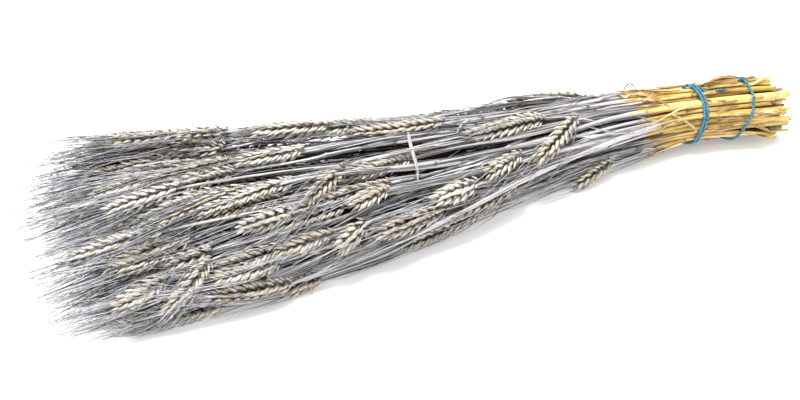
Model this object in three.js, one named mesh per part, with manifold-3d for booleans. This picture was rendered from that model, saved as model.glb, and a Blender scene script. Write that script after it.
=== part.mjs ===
// A bundle of dried bearded wheat lying on a surface: 50 stalks, each one solid from its cut butt to the tips
// of its awns, held by two ties of twine. The ears are sprayed silver, and the butts are left bare straw.
// Millimetres, +Z up. The butts point to +X and the ears to -X. The origin is at the middle of the base.

import * as THREE from "three";
import { mergeVertices } from "three/addons/utils/BufferGeometryUtils.js";
import Module from "manifold-3d";

const wasm = await Module();
wasm.setup();

// The bundle's outer width and height where it is measured, from the cut butts to the last awn tips, and how
// far its middle lies to the side there.
const STATIONS = [
  { x: 350, width: 58, height: 60, sway: -8 },
  { x: 255, width: 54, height: 54, sway: 6 },
  { x: 180, width: 86, height: 66, sway: 12 },
  { x: 100, width: 112, height: 76, sway: 8 },
  { x: 20, width: 122, height: 80, sway: 2 },
  { x: -60, width: 148, height: 84, sway: 0 },
  { x: -130, width: 186, height: 86, sway: 0 },
  { x: -190, width: 216, height: 84, sway: 0 },
  { x: -245, width: 234, height: 78, sway: 0 },
  { x: -300, width: 232, height: 66, sway: 0 },
  { x: -350, width: 210, height: 50, sway: 0 },
];
const NECK = 1; // the station under the first tie
const STALKS = 50;
const SEED = 22;

// A stalk: straw that tapers from the butt to the ear.
const BUTT_RADIUS = 3.4;
const TOP_RADIUS = 1.5;
const BUTT_SPREAD = 1.09; // how much wider the cut end is than the neck
const BUTT_TURN = 0.1; // radians that the stalks wind between the neck and the cut end
const BUTT_STAGGER = 15;
const SIDES = 6; // of a stalk's section, with one side flat down
const FLAT_SHARE = Math.cos(Math.PI / SIDES); // from the section's middle to that side, over its radius

// An ear: two ranks of spikelets that alternate up the rachis, fewer and larger than life so that they cover
// it.
const EAR_LENGTH = 86;
const SPIKELETS = 12;
const TOOTH_RADIUS = 6.3; // from the rachis to a spikelet's tip
const WAIST_RADIUS = 2.7; // where a spikelet leaves the rachis
const FACE_TOOTH = 5.2; // the same on the ear's broad faces
const FACE_WAIST = 3.5;
const TOOTH_LEAN = 5; // how far a spikelet's tip reaches past its place on the rachis
const WAIST_LEAN = -2.4;
const EAR_ROOM = 7.7; // the radius that an ear and its awns keep to

// The awns: which spikelet each grows from, and the angle round the ear at which it runs.
const AWNS = [[1, 300], [4, 60], [5, 240], [8, 120], [9, 270], [10, 90]];
const AWN_RADIUS = 0.5;
const AWN_LENGTH = 84;
const AWN_REACH = 54; // how far the longest awns pass the ear's end
const AWN_KNEE = 12; // from an awn's root to where it has cleared the spikelets above
const AWN_RUN = 7.1; // the radius at which it passes them
const AWN_ROOM = 6; // the radius that the tips keep to

// Dried leaf blades that still hang on outer stalks: where each leaves its stalk, which side of the bundle it
// lies on, in degrees from straight up towards +Y, its length, and how far it stands off.
const LEAVES = [
  { x: 205, toward: -20, length: 74, lift: 3 },
  { x: 168, toward: -58, length: 58, lift: 4 },
  { x: 148, toward: 48, length: 88, lift: 5 },
  { x: 92, toward: 6, length: 66, lift: 3 },
  { x: 60, toward: -44, length: 80, lift: 4 },
  { x: 12, toward: -8, length: 70, lift: 3 },
  { x: -20, toward: -66, length: 62, lift: 4 },
];
const LEAF_WIDTH = 6.5;
const LEAF_THICKNESS = 0.8;
const LEAF_STOPS = 7;
const LEAF_CLEAR = 3.6; // over the stalk's surface before the blade widens
const LEAF_RISE = 0.25; // the share of its length in which it gets there
const SHEATH_SHARE = 0.3; // the width of the blade's foot, over that of the blade

// The ties: where each crosses the bundle, how it slants, its turns along X, the knot's place round the
// bundle in degrees from +Y, and how far the two tails reach along X, round the bundle and outwards.
const TIES = [
  {
    name: "tie_upper", x: 259, slant: 0.24, turns: [-1.7, 1.7],
    knot: 94, tails: [[-15, 4, 1.6], [-9, -12, 1.8]],
  },
  {
    name: "tie_lower", x: 304, slant: 0.36, turns: [0],
    knot: 82, tails: [[-13, 3, 1.5], [-5, -11, 1.6]],
  },
];
const KNOT_SIZE = [3.6, 3, 2.4];
const TWINE_RADIUS = 1.4;
const TWINE_SIDES = 5;
const LOOP_SIDES = 24;
const GAP = 0.35; // the clearance between touching pieces
const FLATTENED = 0.06; // what lies lower than this is pressed flat on the floor
const LEAN_ALLOWANCE = 1.06; // a leaning stalk's section across X is wider than the stalk

const UP = new THREE.Vector3(0, 0, 1);
const vec = (x, y, z) => new THREE.Vector3(x, y, z);

// A seeded random number from 0 to 1, so that every build draws the same bundle.
let state = SEED;
function draw() {
  state = (state + 0x6d2b79f5) | 0;
  let t = Math.imul(state ^ (state >>> 15), 1 | state);
  t = (t + Math.imul(t ^ (t >>> 7), 61 | t)) ^ t;
  return ((t ^ (t >>> 14)) >>> 0) / 4294967296;
}
const between = (low, high) => low + (high - low) * draw();

// The station that a stalk's awns reach or come near: most ears lie at the far end, and a few short ones lie
// further down the bundle.
const TIP_STAGGER = 36;
function tipStation() {
  const share = draw();
  if (share < 0.36) return 10;
  if (share < 0.62) return 9;
  if (share < 0.78) return 8;
  if (share < 0.9) return 7;
  return share < 0.97 ? 6 : 5;
}

// Draws the stalks' sizes and ends. Their places in the neck start as a seed head's spiral.
const GOLDEN_ANGLE = Math.PI * (3 - Math.sqrt(5));
function planStalks() {
  const stalks = Array.from({ length: STALKS }, (_, k) => {
    const angle = k * GOLDEN_ANGLE;
    const fromMiddle = 2 * BUTT_RADIUS * Math.sqrt(k);
    const last = tipStation();
    const tipX = STATIONS[last].x + (k % 6 === 0 ? 0 : TIP_STAGGER * draw());
    const earTipX = tipX + AWN_REACH;
    return {
      name: `stalk_${String(k + 1).padStart(2, "0")}`,
      neck: new THREE.Vector2(Math.cos(angle), Math.sin(angle)).multiplyScalar(fromMiddle),
      buttRadius: BUTT_RADIUS * between(0.86, 1.02),
      buttX: k === 0 ? STATIONS[0].x : STATIONS[0].x - BUTT_STAGGER * draw(),
      drift: new THREE.Vector2(between(-0.45, 0.45), between(-0.5, 0.5)),
      roll: between(-0.7, 0.7),
      last,
      tipX,
      earTipX,
      earX: earTipX + EAR_LENGTH * between(0.92, 1.06),
    };
  });
  cinch(stalks);
  return stalks;
}

// How far apart two stalks' middles are, counted across the sides of a section with one side flat down, and
// the direction of that side.
const SIDE_NORMALS = [0, Math.PI / 3, (2 * Math.PI) / 3]
  .map((angle) => new THREE.Vector2(Math.sin(angle), Math.cos(angle)));
function apartAcross(dy, dz) {
  let best = { apart: -1 };
  for (const { x, y } of SIDE_NORMALS) {
    const reach = dy * x + dz * y;
    if (Math.abs(reach) <= best.apart) continue;
    best = { apart: Math.abs(reach), y: Math.sign(reach || 1) * x, z: Math.sign(reach || 1) * y };
  }
  return best;
}

// Draws the neck tight, as the twine does, until the stalks lie against each other.
function cinch(stalks) {
  const rounds = 900;
  const [firstPull, lastPull] = [0.15, 0.02]; // how far a round draws every stalk inwards
  const flat = FLAT_SHARE * LEAN_ALLOWANCE;
  for (let round = 0; round < rounds; round++) {
    const pull = THREE.MathUtils.lerp(firstPull, lastPull, round / rounds);
    stalks.forEach((s) => s.neck.setLength(Math.max(0, s.neck.length() - pull)));
    for (let i = 0; i < stalks.length; i++) {
      for (let j = i + 1; j < stalks.length; j++) {
        const [a, b] = [stalks[i], stalks[j]];
        const { apart, y, z } = apartAcross(a.neck.x - b.neck.x, a.neck.y - b.neck.y);
        const short = (a.buttRadius + b.buttRadius) * flat + GAP - apart;
        if (short <= 0) continue;
        const push = new THREE.Vector2(y, z).multiplyScalar(short / 2);
        a.neck.add(push);
        b.neck.sub(push);
      }
    }
  }
}

// The straw's radius at x: even up to the first tie, then tapering to the ear.
function stemRadius(stalk, x) {
  const tied = STATIONS[NECK].x;
  const share = THREE.MathUtils.clamp((tied - x) / (tied - stalk.earX), 0, 1);
  return THREE.MathUtils.lerp(stalk.buttRadius, TOP_RADIUS, share);
}

// Half the width that a stalk needs to itself at x. It widens a little before the ear, and is full wide in
// it.
const EAR_START = 4;
const EAR_FULL = 10;
function roomAt(stalk, x) {
  const { earX, earTipX, tipX } = stalk;
  if (x > earX + EAR_START) return stemRadius(stalk, x) * FLAT_SHARE;
  if (x > earX - EAR_FULL) {
    return THREE.MathUtils.lerp(EAR_ROOM, TOP_RADIUS, (x - earX + EAR_FULL) / (EAR_START + EAR_FULL));
  }
  if (x > earTipX) return EAR_ROOM;
  return THREE.MathUtils.lerp(AWN_ROOM, EAR_ROOM, Math.max(0, (x - tipX) / (earTipX - tipX)));
}

// The lowest that a stalk's middle may lie at x: straw on its flat side, and an ear on its spikelets.
const floorAt = (stalk, x) =>
  x > stalk.earX ? stemRadius(stalk, x) * FLAT_SHARE : Math.min(TOOTH_RADIUS, roomAt(stalk, x));

// Lets the stalks settle into a heap: each heads for its place in the fan, stays fairly straight, is pushed
// off its neighbours and lies no lower than the floor.
const ROUNDS = 500;
const FIRM_ROUNDS = 120; // the last rounds only push apart
const SAMPLES = 8; // tests for touching in each stretch between two stations
const SINK = 14; // how far the heap's own weight presses it below its outline
const NEARLY_DOWN = 0.7; // a stalk that hangs no higher than this over the floor lies on it

function settle(stalks) {
  const neckRadius = Math.max(...stalks.map((s) => s.neck.length()));
  const under = Math.max(...stalks.map((s) => s.buttRadius - (s.neck.y * (1 + BUTT_SPREAD)) / 2));
  const neckHeight = under + GAP + 2 * TWINE_RADIUS;
  for (const stalk of stalks) {
    const headed = stalk.neck.clone().divideScalar(neckRadius).add(stalk.drift);
    if (headed.length() > 1) headed.normalize();
    stalk.aim = STATIONS.map((station, k) => {
      if (k <= NECK) {
        const p = stalk.neck.clone();
        if (k === 0) p.multiplyScalar(BUTT_SPREAD).rotateAround(new THREE.Vector2(), BUTT_TURN);
        return vec(station.x, p.x, neckHeight + p.y);
      }
      const along = THREE.MathUtils.smoothstep(-station.x, -STATIONS[NECK].x, 130);
      const q = stalk.neck.clone().divideScalar(neckRadius).lerp(headed, along);
      return vec(station.x, (q.x * station.width) / 2, ((q.y + 1) * station.height) / 2 - SINK);
    }).slice(0, stalk.last + 1);
    stalk.line = stalk.aim.map((p) => p.clone());
    const sampled = (measure) => stalk.line.slice(1).map((p, k) =>
      Array.from({ length: SAMPLES }, (_, s) =>
        measure(stalk, THREE.MathUtils.lerp(stalk.line[k].x, p.x, s / (SAMPLES - 1)))));
    stalk.room = sampled(roomAt);
    stalk.floor = sampled(floorAt);
  }
  for (let round = 0; round < ROUNDS; round++) {
    if (round < ROUNDS - FIRM_ROUNDS) stalks.forEach(steer);
    for (let i = 0; i < stalks.length; i++) {
      for (let j = i + 1; j < stalks.length; j++) pushApart(stalks[i], stalks[j]);
    }
    stalks.forEach(liftOffFloor);
  }
  for (const { line, floor, last } of stalks) {
    line.forEach((p, k) => {
      p.y += STATIONS[k].sway;
      if (k <= NECK) return;
      const rest = k === last ? floor[k - 1].at(-1) : Math.max(floor[k - 1].at(-1), floor[k][0]);
      if (p.z < rest + NEARLY_DOWN) p.z = rest;
    });
  }
}

// Draws a stalk towards its aim and towards a straight run between its neighbouring stations.
function steer(stalk) {
  const { line, aim, last } = stalk;
  for (let k = NECK + 1; k <= last; k++) {
    line[k].lerp(aim[k], 0.04);
    if (k === last) continue;
    const share = (line[k].x - line[k - 1].x) / (line[k + 1].x - line[k - 1].x);
    const straight = line[k - 1].clone().lerp(line[k + 1], share);
    line[k].lerp(straight, 0.3);
  }
}

// Moves a stretch of a stalk's line at a share of its length, and leaves the tied neck where it is.
function shift(line, k, share, y, z) {
  const whole = (1 - share) ** 2 + share ** 2;
  for (const [station, weight] of [[k, (1 - share) / whole], [k + 1, share / whole]]) {
    if (station <= NECK) continue;
    line[station].y += weight * y;
    line[station].z += weight * z;
  }
}

// Lifts each stretch that lies lower than the floor.
function liftOffFloor({ line, floor, last }) {
  for (let k = NECK; k < last; k++) {
    for (let s = 0; s < SAMPLES; s++) {
      const share = s / (SAMPLES - 1);
      const short = floor[k][s] - THREE.MathUtils.lerp(line[k].z, line[k + 1].z, share);
      if (short > 0) shift(line, k, share, 0, short);
    }
  }
}

// Pushes two stalks apart at the tightest place of each stretch that both reach.
function pushApart(a, b) {
  for (let k = NECK; k < Math.min(a.last, b.last); k++) {
    let worst = { short: 0 };
    for (let s = k === NECK ? 1 : 0; s < SAMPLES; s++) {
      const t = s / (SAMPLES - 1);
      const dy = (a.line[k].y - b.line[k].y) * (1 - t) + (a.line[k + 1].y - b.line[k + 1].y) * t;
      const dz = (a.line[k].z - b.line[k].z) * (1 - t) + (a.line[k + 1].z - b.line[k + 1].z) * t;
      const need = (a.room[k][s] + b.room[k][s]) * LEAN_ALLOWANCE + GAP;
      if (Math.hypot(dy, dz) > need * 1.2) continue;
      const { apart, y, z } = apartAcross(dy, dz);
      if (need - apart > worst.short) worst = { short: need - apart, t, y, z };
    }
    if (worst.short === 0) continue;
    const half = worst.short / 2;
    shift(a.line, k, worst.t, half * worst.y, half * worst.z);
    shift(b.line, k, worst.t, -half * worst.y, -half * worst.z);
  }
}

// The point of a stalk's line at x.
function pointAt(line, x) {
  let k = 0;
  while (k < line.length - 2 && line[k + 1].x > x) k++;
  return line[k].clone().lerp(line[k + 1], (x - line[k].x) / (line[k + 1].x - line[k].x));
}

// A frame at x: along the line towards the tip, up and across.
function frameAt(line, x, span = 6) {
  const along = pointAt(line, x - span).sub(pointAt(line, x + span)).normalize();
  const up = UP.clone().addScaledVector(along, -UP.dot(along)).normalize();
  return { at: pointAt(line, x), along, up, across: along.clone().cross(up) };
}

// A point at an angle and a radius round a frame. The angle turns the right-hand way from straight up.
const spoke = ({ at, up, across }, radius, angle) =>
  at.clone().addScaledVector(up, radius * Math.cos(angle)).addScaledVector(across, radius * Math.sin(angle));

const ringAround = (frame, radius, sides = SIDES) =>
  Array.from({ length: sides }, (_, k) => spoke(frame, radius, (2 * Math.PI * (k + 0.5)) / sides));

// A closed skin over rings of points that turn the right-hand way about its run. A ring of one point is a
// tip, and a looped skin joins its last ring to its first.
function loft(rings, looped = false) {
  const position = [];
  const index = [];
  const first = rings.map((ring) => {
    const start = position.length / 3;
    ring.forEach((p) => position.push(p.x, p.y, p.z));
    return start;
  });
  const sides = Math.max(...rings.map((ring) => ring.length));
  const corner = (k, j) => first[k] + (rings[k].length > 1 ? j % sides : 0);
  const end = rings.length - 1;
  for (let k = 0; k < (looped ? rings.length : end); k++) {
    const next = (k + 1) % rings.length;
    for (let j = 0; j < sides; j++) {
      if (rings[k].length > 1) index.push(corner(k, j), corner(k, j + 1), corner(next, j + 1));
      if (rings[next].length > 1) index.push(corner(k, j), corner(next, j + 1), corner(next, j));
    }
  }
  for (let j = 1; j + 1 < sides && !looped; j++) {
    if (rings[0].length > 1) index.push(corner(0, 0), corner(0, j + 1), corner(0, j));
    if (rings[end].length > 1) index.push(corner(end, 0), corner(end, j), corner(end, j + 1));
  }
  return new THREE.BufferGeometry()
    .setAttribute("position", new THREE.Float32BufferAttribute(position, 3))
    .setIndex(index);
}

// Joins closed skins that run into each other.
function fuse(geometries) {
  const solids = geometries.map((geometry) => {
    const merged = mergeVertices(geometry, 1e-4);
    return new wasm.Manifold(new wasm.Mesh({
      numProp: 3,
      vertProperties: merged.attributes.position.array,
      triVerts: new Uint32Array(merged.index.array),
    }));
  });
  const { vertProperties, triVerts } = wasm.Manifold.union(solids).getMesh();
  return new THREE.BufferGeometry()
    .setAttribute("position", new THREE.BufferAttribute(vertProperties, 3))
    .setIndex(new THREE.BufferAttribute(triVerts, 1));
}

// Makes what all but reaches the floor lie flat on it.
function pressFlat(geometry) {
  const { position } = geometry.attributes;
  for (let k = 0; k < position.count; k++) {
    if (position.getZ(k) < FLATTENED) position.setZ(k, 0);
  }
  return geometry;
}

// The straw's rings from the cut butt to the foot of the ear.
const SHORTEST_STRETCH = 12;
function strawRings(stalk) {
  const bends = stalk.line.slice(1).map((p) => p.x).filter((x) => x > stalk.earX + SHORTEST_STRETCH);
  const stops = [stalk.buttX, ...bends, stalk.earX];
  return stops.map((x) => ringAround(frameAt(stalk.line, x), stemRadius(stalk, x)));
}

// Where the spikelet of this order sits on the rachis.
const spikeletX = (stalk, order) =>
  stalk.earX - ((order + 1) / SPIKELETS) * (stalk.earX - stalk.earTipX - TOOTH_LEAN);

// The ear's rings. Each stands out on the side of its spikelet and leans forward there, so the sides are
// toothed.
function earRings(stalk) {
  return Array.from({ length: SPIKELETS }, (_, order) => {
    const frame = frameAt(stalk.line, spikeletX(stalk, order));
    const size = Math.sin(Math.PI * (0.2 + 0.62 * ((order + 1) / SPIKELETS))) ** 0.6;
    const rank = order % 2 ? -1 : 1;
    return Array.from({ length: SIDES }, (_, k) => {
      const angle = (2 * Math.PI * (k + 0.5)) / SIDES;
      const side = rank * Math.round(Math.sin(angle) * 2); // 2 on the spikelet's side, and 1 beside it
      const broad = Math.abs(side) < 2;
      const standing = side > 0;
      const [tooth, waist] = broad ? [FACE_TOOTH, FACE_WAIST] : [TOOTH_RADIUS, WAIST_RADIUS];
      const radius = size * (standing ? tooth : waist);
      const lean = size * (standing ? TOOTH_LEAN : WAIST_LEAN) * (broad ? 0.5 : 1);
      return spoke(frame, radius, angle + stalk.roll).addScaledVector(frame.along, lean);
    });
  });
}

// Grows a thin spike out of one face: a small root near the face's first corner, a knee and a far tip.
function sprout(geometry, face, knee, tip) {
  const position = Array.from(geometry.attributes.position.array);
  const index = Array.from(geometry.index.array);
  const corners = index.slice(3 * face, 3 * face + 3);
  const points = corners.map((c) => vec().fromArray(position, 3 * c));
  const middle = points[0].clone().add(points[1]).add(points[2]).divideScalar(3);
  const run = tip.clone().sub(knee).normalize();
  const addRing = (centre, spokes) => spokes.map((s) => {
    position.push(...s.setLength(AWN_RADIUS).add(centre).toArray());
    return position.length / 3 - 1;
  });
  const spokes = points.map((p) => p.clone().sub(middle));
  const root = addRing(points[0].clone().lerp(middle, 0.5), spokes.map((s) => s.clone()));
  const bend = addRing(knee, spokes.map((s) => s.clone().addScaledVector(run, -run.dot(s))));
  position.push(...tip.toArray());
  const grown = [];
  for (let j = 0; j < 3; j++) {
    const n = (j + 1) % 3;
    grown.push(corners[j], corners[n], root[n], corners[j], root[n], root[j]);
    grown.push(root[j], root[n], bend[n], root[j], bend[n], bend[j]);
    grown.push(bend[j], bend[n], position.length / 3 - 1);
  }
  index.splice(3 * face, 3, ...grown.slice(0, 3));
  index.push(...grown.slice(3));
  return new THREE.BufferGeometry()
    .setAttribute("position", new THREE.Float32BufferAttribute(position, 3))
    .setIndex(index);
}

// A whole stalk: straw and ear in one skin, with awns that grow out of its spikelets.
function stalkGeometry(stalk) {
  const straw = strawRings(stalk);
  let geometry = loft([...straw, ...earRings(stalk), [pointAt(stalk.line, stalk.earTipX - 1)]]);
  for (const [order, degrees] of AWNS) {
    const angle = THREE.MathUtils.degToRad(degrees + between(-5, 5)) + stalk.roll;
    const rootX = spikeletX(stalk, order);
    const longest = order === AWNS.at(-1)[0];
    const tipX = longest ? stalk.tipX : Math.max(stalk.tipX, rootX - AWN_LENGTH * between(0.85, 1.1));
    const tip = spoke(frameAt(stalk.line, tipX), AWN_ROOM * between(0.5, 0.9), angle);
    tip.x = tipX;
    const knee = spoke(frameAt(stalk.line, rootX - TOOTH_LEAN - AWN_KNEE), AWN_RUN, angle);
    for (const p of [knee, tip]) p.z = Math.max(p.z, AWN_RADIUS);
    const side = order % 2 ? 4 : 1; // the spikelet's own side of the ear
    geometry = sprout(geometry, 2 * ((straw.length + order) * SIDES + side), knee, tip);
  }
  return geometry;
}

// A leaf blade: a narrow sheath on the stalk, then a thin ribbon that lifts clear of the bundle, waves and
// tapers.
function leafGeometry(stalk, { x, toward, length, lift }) {
  const angle = THREE.MathUtils.degToRad(toward);
  const out = vec(0, Math.sin(angle), Math.cos(angle));
  const rings = Array.from({ length: LEAF_STOPS }, (_, k) => {
    const share = k / LEAF_STOPS;
    const at = pointAt(stalk.line, x - share * length);
    const clear = stemRadius(stalk, x) + LEAF_CLEAR;
    const rising = share < LEAF_RISE;
    const off = rising ? (share / LEAF_RISE) * clear : clear + lift * Math.sin(3 * (share - LEAF_RISE));
    at.addScaledVector(out, off);
    const half = 0.5 * LEAF_WIDTH * (rising ? SHEATH_SHARE : 1 - 0.6 * share);
    const side = vec(1, 0, 0).cross(out);
    const tilt = 0.5 * Math.sin(5 * share);
    const across = side.clone().multiplyScalar(Math.cos(tilt)).addScaledVector(out, Math.sin(tilt));
    const thick = out.clone().multiplyScalar(Math.cos(tilt)).addScaledVector(side, -Math.sin(tilt));
    return [[-1, -1], [1, -1], [1, 1], [-1, 1]].map(([a, b]) =>
      at.clone().addScaledVector(across, a * half).addScaledVector(thick, (b * LEAF_THICKNESS) / 2));
  });
  return loft(rings);
}

// The outermost stalk at x on the side that a leaf lies on.
function stalkUnder({ x, toward }) {
  const angle = THREE.MathUtils.degToRad(toward);
  const reach = (stalk) => {
    const p = pointAt(stalk.line, x);
    return p.y * Math.sin(angle) + p.z * Math.cos(angle);
  };
  return stalks.filter((s) => s.earX < x - 40).reduce((best, s) => (reach(s) > reach(best) ? s : best));
}

// The tight loop round all the stalks in a slanted plane: the corners of the outline with many sides that
// touches the outermost stalks all round.
function loopAround(stalks, x, slant) {
  const height = stalks.reduce((sum, s) => sum + pointAt(s.line, x).z, 0) / stalks.length;
  const sections = stalks.map((stalk) => {
    const centre = pointAt(stalk.line, x + slant * (pointAt(stalk.line, x).z - height));
    return { centre, reach: stemRadius(stalk, centre.x) + GAP + TWINE_RADIUS };
  });
  const turn = (2 * Math.PI) / LOOP_SIDES;
  const reachTo = (angle) => Math.max(...sections.map(({ centre, reach }) =>
    centre.y * Math.cos(angle) + centre.z * Math.sin(angle) + reach));
  return Array.from({ length: LOOP_SIDES }, (_, k) => {
    const angle = k * turn;
    const reach = reachTo(angle);
    const aside = (reachTo(angle + turn) - reach * Math.cos(turn)) / Math.sin(turn);
    const y = reach * Math.cos(angle) - aside * Math.sin(angle);
    const z = reach * Math.sin(angle) + aside * Math.cos(angle);
    return vec(x + slant * (z - height), y, z);
  });
}

// Twine along points: a closed loop, or a length with two cut ends.
function twine(points, looped) {
  const middle = points.reduce((sum, p) => sum.add(p), vec(0, 0, 0)).divideScalar(points.length);
  return loft(points.map((at, k) => {
    const before = looped ? points.at(k - 1) : points[Math.max(0, k - 1)];
    const after = looped ? points[(k + 1) % points.length] : points[Math.min(points.length - 1, k + 1)];
    const along = after.clone().sub(before).normalize();
    const out = looped ? at.clone().sub(middle) : UP.clone();
    const up = out.addScaledVector(along, -out.dot(along)).normalize();
    return ringAround({ at, up, across: along.clone().cross(up) }, TWINE_RADIUS, TWINE_SIDES);
  }), looped);
}

// A tie: its turns lie side by side and run together in a knot, from which two short tails stand off.
function tieGeometry(stalks, { x, slant, turns, knot, tails }) {
  const loops = turns.map((offset) => loopAround(stalks, x + offset, slant));
  const corner = Math.round((knot / 360) * LOOP_SIDES);
  const seat = loops.reduce((sum, loop) => sum.add(loop[corner]), vec(0, 0, 0)).divideScalar(loops.length);
  const middle = loops[0].reduce((sum, p) => sum.add(p), vec(0, 0, 0)).divideScalar(LOOP_SIDES);
  const out = seat.clone().sub(middle).setX(0).normalize();
  const heart = seat.clone().addScaledVector(out, 0.8);
  const lump = new THREE.IcosahedronGeometry(1, 0).scale(...KNOT_SIZE);
  lump.deleteAttribute("normal");
  lump.deleteAttribute("uv");
  const turned = new THREE.Quaternion().setFromUnitVectors(UP, out);
  lump.applyQuaternion(turned).translate(...heart.toArray());
  const strands = tails.map(([alongX, aside, rise]) => {
    const side = vec(1, 0, 0).cross(out);
    const reach = (share, lift) =>
      heart.clone().addScaledVector(vec(1, 0, 0), share * alongX).addScaledVector(side, share * aside)
        .addScaledVector(out, lift);
    return twine([reach(0, 0), reach(0.35, rise), reach(0.7, rise * 0.9), reach(1, rise * 0.6)], false);
  });
  return fuse([...loops.map((loop) => twine(loop, true)), lump, ...strands]);
}

const stalks = planStalks();
settle(stalks);

const leavesOf = Map.groupBy(LEAVES, stalkUnder);
const bundle = new THREE.Group();
for (const stalk of stalks) {
  const silverStraw = new THREE.MeshStandardMaterial({ color: 0xa5a5a8, roughness: 0.5, metalness: 0.35 });
  const leaves = (leavesOf.get(stalk) ?? []).map((leaf) => leafGeometry(stalk, leaf));
  const bare = pressFlat(stalkGeometry(stalk));
  const mesh = new THREE.Mesh(leaves.length ? fuse([bare, ...leaves]) : bare, silverStraw);
  mesh.name = stalk.name;
  bundle.add(mesh);
}
for (const tie of TIES) {
  const blueTwine = new THREE.MeshStandardMaterial({ color: 0x2f8fa6, roughness: 0.8, metalness: 0 });
  const mesh = new THREE.Mesh(pressFlat(tieGeometry(stalks, tie)), blueTwine);
  mesh.name = tie.name;
  bundle.add(mesh);
}

// Puts the middle of the bundle's base at the origin.
const middle = new THREE.Box3().setFromObject(bundle, true).getCenter(vec());
bundle.position.set(-middle.x, -middle.y, 0);

export default bundle;
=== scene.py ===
"""A bundle of dried bearded wheat that lies on a pale floor. Its ears are sprayed silver, its butts are left
as bare straw, and two ties of blue twine hold it. Metres, +Z up, butts to +X and ears to -X."""

import math

import bmesh
import bpy
import numpy as np
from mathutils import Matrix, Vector


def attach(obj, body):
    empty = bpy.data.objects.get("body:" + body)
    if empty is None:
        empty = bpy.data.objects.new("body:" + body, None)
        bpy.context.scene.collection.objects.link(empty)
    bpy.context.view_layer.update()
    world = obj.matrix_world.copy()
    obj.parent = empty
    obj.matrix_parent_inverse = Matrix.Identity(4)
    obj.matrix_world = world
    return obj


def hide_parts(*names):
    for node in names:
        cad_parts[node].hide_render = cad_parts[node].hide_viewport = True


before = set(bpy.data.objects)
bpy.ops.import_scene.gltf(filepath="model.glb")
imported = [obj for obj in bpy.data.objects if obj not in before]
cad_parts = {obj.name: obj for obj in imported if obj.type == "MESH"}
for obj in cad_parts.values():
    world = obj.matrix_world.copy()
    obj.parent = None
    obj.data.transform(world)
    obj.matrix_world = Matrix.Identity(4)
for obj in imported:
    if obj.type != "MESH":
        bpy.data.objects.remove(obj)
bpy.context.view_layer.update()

# How the stalks lie
# Each stalk is one grown piece: a hollow straw, an ear and its awns. The solids give the way each one
# lies, so its middle is read from them at every stop along the bundle.

MM = 0.001
HALF_LENGTH = 0.350
STOPS = np.linspace(HALF_LENGTH, -HALF_LENGTH, 71)
AWNS_PAST_EAR = 54 * MM
AWNS_END = 12 * MM  # too few awns reach into it to tell the middle
SIX_SIDED = 2.6  # the area of a solid's straw over its radius squared
EAR_WIDENS = 1.6  # how much the section grows from one stop to the next where an ear starts
chance = np.random.default_rng(11)


def welded(node):
    """A solid's corners and triangles, with its doubled corners joined."""
    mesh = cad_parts[node].data
    mesh.calc_loop_triangles()
    corners = np.empty(3 * len(mesh.vertices))
    mesh.vertices.foreach_get("co", corners)
    triangles = np.empty(3 * len(mesh.loop_triangles), dtype=np.int64)
    mesh.loop_triangles.foreach_get("vertices", triangles)
    corners = corners.reshape(-1, 3)
    _, first, back = np.unique(np.round(corners * 1e5), axis=0, return_index=True, return_inverse=True)
    return corners[first], back.ravel()[triangles].reshape(-1, 3)


def outlines(corners, triangles, x):
    """The closed outlines where the plane at x cuts a solid, largest first: their areas and middles."""
    beyond = corners[:, 0] > x
    links = {}
    for tri in triangles[beyond[triangles].sum(1) % 3 > 0].tolist():
        sides = ((tri[0], tri[1]), (tri[1], tri[2]), (tri[2], tri[0]))
        one, other = [tuple(sorted(side)) for side in sides if beyond[side[0]] != beyond[side[1]]]
        links.setdefault(one, []).append(other)
        links.setdefault(other, []).append(one)
    found = []
    while links:
        here = next(iter(links))
        points = []
        while here:
            (low, high), onward = here, links.pop(here)
            share = (x - corners[low, 0]) / (corners[high, 0] - corners[low, 0])
            points.append(corners[low, 1:] + share * (corners[high, 1:] - corners[low, 1:]))
            here = next((edge for edge in onward if edge in links), None)
        here, ahead = np.array(points), np.roll(points, -1, 0)
        cross = here[:, 0] * ahead[:, 1] - ahead[:, 0] * here[:, 1]
        if abs(cross.sum()) > 1e-8:
            middle = ((here + ahead) * cross[:, None]).sum(0) / (3 * cross.sum())
            found.append((abs(cross.sum()) / 2, middle))
    return sorted(found, key=lambda outline: -outline[0])


def evened(values, rounds=2):
    """A run of numbers with its small unevenness taken out."""
    for _ in range(rounds):
        padded = np.concatenate([2 * values[:1] - values[1:2], values, 2 * values[-1:] - values[-2:-1]])
        values = (padded[:-2] + 2 * padded[1:-1] + padded[2:]) / 4
    return values


def between(where, known, rows):
    """Rows of numbers read off at places between the known ones."""
    return np.stack([np.interp(where, known, column) for column in rows.T], -1)


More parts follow.
